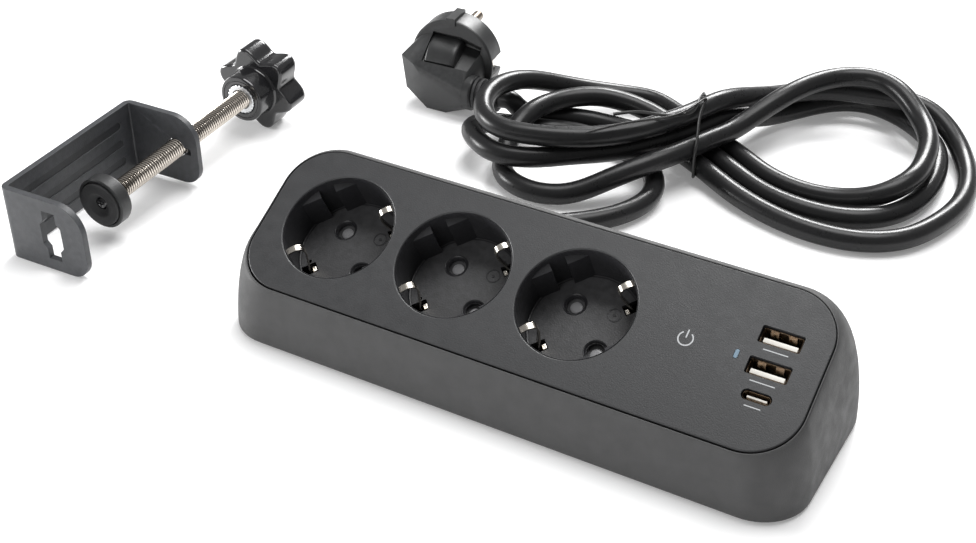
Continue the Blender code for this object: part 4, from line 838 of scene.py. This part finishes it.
def build_bracket():
    line = [(FLANGES[1], SPINE), *bend_arc((BEND, SPINE - BEND), 90, 180)]
    line += [*bend_arc((BEND, BEND), 180, 270), (FLANGES[0], 0)]
    cuts = []
    for length, y0, y1 in ((FLANGES[0], -1, 6), (FLANGES[1], SPINE - 6, SPINE + 1)):
        cuts.append(corner_cut(length, BRACKET_WIDTH, 1, FLANGE_CORNERS[0], y0, y1))
        cuts.append(corner_cut(length, 0, -1, FLANGE_CORNERS[1], y0, y1))
    middle = BRACKET_WIDTH / 2
    side = ((2.9, -10.2), (2.9, -6.0), (4.6, -4.2), (4.6, 4.2), (2.9, 6.0), (2.9, 10.2))
    slot = [(22 + x, middle + z) for x, z in side] + [(22 - x, middle + z) for x, z in reversed(side)]
    cuts.append(loft([[(x, y, z) for x, z in slot] for y in (-1, 6)]))
    hole = moved(prism(circle(SPINDLE_RADIUS + GAP, 40), -6, 1), TO_Y)
    notch = box((26, SPINE - 6, middle - 1.6), (30.6, SPINE - 0.4, middle + 1.0))
    grooves = []
    for z in GROOVE_HEIGHTS:
        pill = [(SPINE / 2 + y, z + up) for y, up in rounded_rect(SPINE / 2 - 8.5, 1.7, 1.65, 8)]
        grooves.append(loft([[(x, y, up) for y, up in pill] for x in (SHEET - 0.55, SHEET + 1)]))
    piece("bracket", [bent_strip(line, SHEET, 0, BRACKET_WIDTH)], "powder", "bracket", ["clamp_bracket"],
          cut=[cuts, [shifted(hole, (SPINDLE_X, SPINE, middle))], [notch], grooves], bevel=0.35, place=CLAMP)


def build_spindle():
    """The screw: every ring's radius follows where it meets the helix, and the thread's root gets a dark
    material as painted shade.
    """
    start = PAD_FACE + PAD_DEPTH + GAP
    end = HUB_FACE + NUT_DEPTH - 0.6
    around, up = 40, 10
    rings = []
    for level in range(round((end - start) / THREAD_PITCH * up) + 1):
        z = min(start + level * THREAD_PITCH / up, end)
        ring = []
        for k in range(around):
            phase = (z / THREAD_PITCH - k / around) % 1
            crest = min(1.0, max(0.0, 2.2 * abs(phase - 0.5) - 0.12))
            radius = SPINDLE_RADIUS - THREAD_DEPTH * (1 - crest)
            if z < start + 0.4:
                radius = min(radius, SPINDLE_RADIUS - 0.6)
            ring.append((*polar(radius, math.tau * k / around), z))
        rings.append(ring)
    screw = piece("spindle", [loft(rings)], "thread", "spindle", ["clamp_spindle"], place=SPINDLE_AXIS,
                  sharp=60)
    # Faces low in the thread's valleys get a dark material: painted shade.
    screw.data.materials.append(MATERIALS["thread_root_shade"])
    to_axis = SPINDLE_AXIS.inverted()
    for face in screw.data.polygons:
        middle = to_axis @ (face.center / MM)
        if start + 1 < middle.z < end - 1 and middle.xy.length < SPINDLE_RADIUS - 0.58 * THREAD_DEPTH:
            face.material_index = 1


def build_nut():
    """The ridged metal insert in the knob's hub."""
    low, high = HUB_FACE - 0.35, HUB_FACE + NUT_DEPTH
    knurl = [polar(NUT_RADIUS - 0.35 * (k % 2), math.tau * k / 48) for k in range(48)]
    inner = circle(SPINDLE_RADIUS + 0.12, 48)
    rings = [[(x, y, z) for x, y in line] for line, z in
             ((inner, low + 0.5), ([(x * 1.12, y * 1.12) for x, y in inner], low),
              ([(x * 0.94, y * 0.94) for x, y in knurl], low), (knurl, low + 0.3), (knurl, high),
              (inner, high))]
    piece("nut", [loft(rings, True)], "zinc", "spindle", ["knob_nut"], place=SPINDLE_AXIS)


def star_outline(shrink):
    """The knob's lobed outline, pulled in by shrink millimetres."""
    steps = KNOB_LOBES * 22
    outline = []
    for k in range(steps):
        angle = math.tau * k / steps
        swing = (0.5 + 0.5 * math.cos(KNOB_LOBES * angle)) ** 0.95
        radius = KNOB_VALLEY + (KNOB_RADIUS - KNOB_VALLEY) * swing - shrink
        outline.append(polar(radius, angle + KNOB_TURN))
    return outline


def build_knob():
    face = HUB_FACE + HUB_LENGTH
    back = face + KNOB_THICKNESS
    pocket = NUT_RADIUS + 0.12
    hub = turned(((pocket, HUB_FACE + NUT_DEPTH + GAP), (pocket, HUB_FACE + 0.3), (pocket + 0.3, HUB_FACE),
                  (8.0, HUB_FACE), (8.15, HUB_FACE + 0.25), (8.5, HUB_FACE + 0.25), (8.65, HUB_FACE),
                  (HUB_RADIUS - 0.9, HUB_FACE), (HUB_RADIUS - 0.3, HUB_FACE + 0.25),
                  (HUB_RADIUS, HUB_FACE + 0.9), (HUB_RADIUS, face - 1.2), (HUB_RADIUS + 0.35, face - 0.4),
                  (HUB_RADIUS + 0.9, face + 0.1), (HUB_RADIUS + 0.9, face + 2), (2, face + 2),
                  (2, HUB_FACE + NUT_DEPTH + GAP)), 72, True)
    levels = ((1.6, face), (1.0, face + 0.1), (0.5, face + 0.35), (0.15, face + 0.75), (0, face + 1.3),
              (0, back - 2.6), (0.2, back - 1.6), (0.8, back - 0.7), (1.7, back - 0.15), (2.6, back))
    star = loft([[(x, y, z) for x, y in star_outline(shrink)] for shrink, z in levels])
    piece("knob", [star], "knob", "spindle", ["clamp_knob"], add=[[hub]], place=SPINDLE_AXIS, sharp=40)


def build_pad():
    face, base = PAD_FACE, PAD_FACE + PAD_DEPTH
    cup = turned(((8.9, face + 2.2), (8.9, face + 0.3), (9.15, face), (PAD_RADIUS - 0.4, face),
                  (PAD_RADIUS, face + 0.4), (PAD_RADIUS, base - 1.1), (PAD_RADIUS - 0.3, base - 0.4),
                  (PAD_RADIUS - 1.0, base)), 80)
    piece("pad_ring", [cup], "plug", "pad", ["pad_cup"], place=SPINDLE_AXIS)
    disc = turned(((2.6, face + 1.9), (8.6, face + 1.9), (8.6, face - 0.5), (8.35, face - 0.85),
                   (7.9, face - 1.0), (5.2, face - 1.0), (4.75, face - 0.85), (3.9, face - 0.1),
                   (3.0, face + 0.55), (2.6, face + 0.6)), 80, True)
    piece("pad_face", [disc], "rubber", "pad", ["pad_disc"], place=SPINDLE_AXIS)
    head = turned(((1.0, face + 0.15), (1.8, face + 0.35), (2.3, face + 0.9), (2.3, face + 1.8)), 40)
    slots = [[box((-x, -y, face - 1), (x, y, face + 0.9))] for x, y in ((0.28, 1.25), (1.25, 0.28))]
    piece("pad_fixing", [head], "knob", "pad", ["pad_screw"], cut=slots, place=SPINDLE_AXIS)


# ---------------- plug

PIN_RADIUS = 2.4
PIN_LENGTH = 19.0
SPOUT_MIDDLE = Vector((0, -PLUG_RELIEF_BACK, -PLUG_RELIEF_DROP))
FACET = Vector((0.06, -0.72, 0.69))     # out of the plug's upper facet


def hull(points):
    """The convex body round a set of points."""
    work = bmesh.new()
    for p in points:
        work.verts.new(p)
    made = bmesh.ops.convex_hull(work, input=work.verts)
    loose = {v for v in made["geom_interior"] + made["geom_unused"] if isinstance(v, bmesh.types.BMVert)}
    bmesh.ops.delete(work, geom=list(loose), context="VERTS")
    work.verts.index_update()
    shape = [tuple(v.co) for v in work.verts], [tuple(v.index for v in f.verts) for f in work.faces]
    work.free()
    return shape


def plug_recess():
    """The hollow in the upper facet, shallow at the left and an open scoop at the right."""
    rim = ((-9.7, -21, 2.9, 0.9), (-8.6, -11.5, 13.1, 5.5), (4.5, -11.5, 12.6, 7), (14.2, -11.5, 9.6, 7),
           (11.1, -19.8, 1.4, 0.9))
    return hull([Vector((x, y, z)) - FACET * depth for x, y, z, depth in rim]
                + [Vector((x, y, z)) + FACET * 7 for x, y, z, depth in rim])


def build_plug_panel():
    """The bulging grip panel in the recess."""
    bulge = []
    for x, drop in ((-9.0, 1.0), (-8.6, 0.3), (-7.8, 0), (-5, 0.1), (-1, 0.1), (2.4, 0), (3.6, 0.1),
                    (4.4, 0.5), (4.9, 1.3)):
        low, high = Vector((x, -20.4, 3.2)), Vector((x, -11.7, 12.6 - 0.05 * x)) - FACET * 3.2
        arch = [low.lerp(high, k / 8) + FACET * (1.7 * math.sin(math.pi * k / 8) - drop) for k in range(9)]
        bulge.append([(x, -15, -3), *arch, (x, -7, 6)])
    piece("plug_panel", [loft(bulge)], "plug", place=PLUG, sharp=50)


def build_plug_body():
    """A round face band, and a faceted back running down to a sideways spout."""
    band = ((PLUG_RADIUS - 0.8, 0), (PLUG_RADIUS - 0.25, 0.2), (PLUG_RADIUS, 0.8), (PLUG_RADIUS, 10.4),
            (PLUG_RADIUS - 0.25, 11.0), (PLUG_RADIUS - 0.8, 11.2))
    face = moved(turned(band, 96), TO_BACK)
    corners = ((-20, -19, 3), (-18, -19, -12), (-7, -21.8, -18.8), (2.2, -22.4, -18.8), (11, -15.4, -18.4),
               (-9, -24, -2), (-13, -22.6, 1.5))
    stretch = [Vector(c) for c in corners]
    stretch += [Vector((x, -6, z)) for x, z in circle(PLUG_RADIUS - 1.5, 64)]
    stretch += [Vector((PLUG_SPOUT - 4, y, z)) + SPOUT_MIDDLE for y, z in circle(7.8, 40)]
    spout = shifted(moved(turned(((7.7, PLUG_SPOUT - 5), (7.8, PLUG_SPOUT - 0.9), (7.5, PLUG_SPOUT - 0.3),
                                  (6.9, PLUG_SPOUT)), 64), TO_X), SPOUT_MIDDLE)
    rib = box((-2, -12, PLUG_RADIUS - 2), (2, -0.6, PLUG_RADIUS + 1.4))
    cuts = [moved(prism(circle(PIN_RADIUS + GAP, 32, (0, side * PIN_OFFSET)), -1, 6), TO_BACK)
            for side in (-1, 1)]
    for side in (-1, 1):
        low, high = sorted((side * 15.6, side * (PLUG_RADIUS + 1)))
        cuts.append(box((low, -10, -3.6), (high, 1, 3.6)))
    socket = turned(((CABLE_RADIUS + 0.1, 6), (CABLE_RADIUS + 0.1, PLUG_SPOUT + 1)), 48)
    cuts.append(shifted(moved(socket, TO_X), SPOUT_MIDDLE))
    piece("plug", [hull(stretch)], "plug", cad=["plug_body"], add=[[face], [spout], [rib]],
          cut=[[plug_recess()], cuts], bevel=0.4, place=PLUG, sharp=14)


def build_pins():
    """The plug's two pins and the two earth plates at its sides."""
    profile = ((0.9, PIN_LENGTH), (1.7, PIN_LENGTH - 0.35), (2.2, PIN_LENGTH - 1.0),
               (PIN_RADIUS, PIN_LENGTH - 1.9), (PIN_RADIUS, -5.5))
    for k, side in enumerate((-1, 1), 1):
        piece(f"pin_{k}", [shifted(moved(turned(profile, 40), TO_Y), (0, 0, side * PIN_OFFSET))], "pin",
              cad=[f"plug_pin_{k}"], place=PLUG)
        low, high = sorted((side * 15.9, side * 16.7))
        piece(f"earth_plate_{k}", [box((low, -9.7, -2.6), (high, -0.6, 2.6))], "nickel",
              cad=[f"plug_earth_contact_{k}"], bevel=0.2, place=PLUG)


def build_relief():
    """The ribbed sleeve that keeps the cable from kinking at the plug's spout."""
    foot = PLUG_SPOUT + GAP
    pitch = 2.4
    ribs = [(6.8, foot)]
    for k in range(4):
        start = foot + (0.5 + k) * pitch
        radius = 6.8 - 0.25 * k
        ribs += [(radius - 0.2, start - 0.15), (radius - 1, start), (radius - 1, start + 0.35 * pitch),
                 (radius - 0.2, start + 0.42 * pitch), (radius, start + 0.5 * pitch),
                 (radius, start + 0.9 * pitch)]
    ribs += [(CABLE_RADIUS + 0.1, ribs[-1][1] + 0.3), (CABLE_RADIUS + 0.1, foot)]
    relief = shifted(moved(turned(ribs, 64, True), TO_X), SPOUT_MIDDLE)
    piece("relief", [relief], "rubber", cad=["plug_bend_relief"], place=PLUG)


# ---------------- leftovers, light and camera

CAD_LOOKS = {
    "shutter_": "shutter", "shutter_spring": "spring", "live_busbar": "brass", "neutral_busbar": "brass",
    "earth_busbar": "brass", "usb_board": "board", "transformer": "component", "status_led": "led",
    "usb_live_lead": "core_brown", "usb_neutral_lead": "core_blue", "live_core": "core_brown",
    "neutral_core": "core_blue", "earth_core": "core_green", "cord_clamp": "insert",
    "cord_clamp_screw": "nickel", "cover_screw": "nickel", "rubber_foot": "rubber",
}


def dress_cad():
    """Gives every CAD node that is still shown its finish, by the longest matching name."""
    for name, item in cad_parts.items():
        matches = [key for key in CAD_LOOKS if name.startswith(key)]
        if matches:
            item.data.materials[0] = MATERIALS[CAD_LOOKS[max(matches, key=len)]]


FLOOR_HALF = 3.0
FLOOR_LEVEL = -0.0002               # just below the feet


def build_stage():
    work = bmesh.new()
    for x, y in ((-1, -1), (1, -1), (1, 1), (-1, 1)):
        work.verts.new((x * FLOOR_HALF, y * FLOOR_HALF, FLOOR_LEVEL))
    work.faces.new(work.verts)
    mesh = bpy.data.meshes.new("floor")
    work.to_mesh(mesh)
    work.free()
    n = Nodes("floor_paper")
    n.link(n.mix(n.noise(60), (0.86, 0.86, 0.865), (0.88, 0.88, 0.88)), n.shader.inputs["Base Color"])
    n.settle({"Roughness": 0.9, "Specular IOR Level": 0.1, "Emission Color": (1, 1, 1, 1),
              "Emission Strength": 0.18})
    mesh.materials.append(n.material)
    shown("floor", mesh)


def add_light(name, place, target, size, power):
    lamp = bpy.data.lights.new(name, "AREA")
    lamp.shape = "RECTANGLE"
    lamp.size, lamp.size_y = size
    lamp.energy = power
    item = shown(name, lamp)
    item.location = place
    item.rotation_euler = (Vector(target) - Vector(place)).to_track_quat("-Z", "Y").to_euler()


def build_light():
    world = bpy.data.worlds.new("studio")
    bpy.context.scene.world = world
    world.use_nodes = True
    nodes, links = world.node_tree.nodes, world.node_tree.links
    rays = nodes.new("ShaderNodeLightPath")
    strength = nodes.new("ShaderNodeMapRange")
    strength.inputs["To Min"].default_value = 0.28       # what the object sees
    strength.inputs["To Max"].default_value = 1.0        # what the camera sees
    links.new(rays.outputs["Is Camera Ray"], strength.inputs["Value"])
    links.new(strength.outputs["Result"], nodes["Background"].inputs["Strength"])
    nodes["Background"].inputs["Color"].default_value = (1, 1, 1, 1)
    add_light("overhead", (0.0, 0.30, 1.1), (0, 0.06, 0), (0.9, 0.6), 12)
    add_light("back_sheen", (-0.25, 1.6, 1.05), (0.05, 0.05, 0), (0.6, 0.5), 34)
    add_light("left_fill", (-1.3, -0.25, 0.22), (-0.1, 0.1, 0), (0.6, 0.3), 17)
    add_light("front_fill", (-0.2, -1.2, 0.35), (0, 0.0, 0), (0.9, 0.4), 4)
    bpy.context.scene.view_settings.view_transform = "Standard"


CAMERA_PLACE = Vector((0.1907, -0.3652, 0.3230))
CAMERA_AZIMUTH = math.radians(29.14)
CAMERA_RISE = math.radians(34.13)
CAMERA_ROLL = math.radians(0.47)
CAMERA_LENS = 57.75


def build_camera():
    lens = bpy.data.cameras.new("camera")
    lens.lens = CAMERA_LENS
    item = shown("camera", lens)
    aim = Matrix.Rotation(CAMERA_AZIMUTH, 4, "Z") @ Matrix.Rotation(math.radians(90) - CAMERA_RISE, 4, "X")
    item.matrix_world = Matrix.Translation(CAMERA_PLACE) @ aim @ Matrix.Rotation(CAMERA_ROLL, 4, "Z")
    bpy.context.scene.camera = item


build_shell()
build_cover()
build_marks()
build_outlets()
build_ports()
build_cable()
build_tie()
build_bracket()
build_spindle()
build_nut()
build_knob()
build_pad()
build_plug_body()
build_plug_panel()
build_pins()
build_relief()
dress_cad()
build_stage()
build_light()
build_camera()
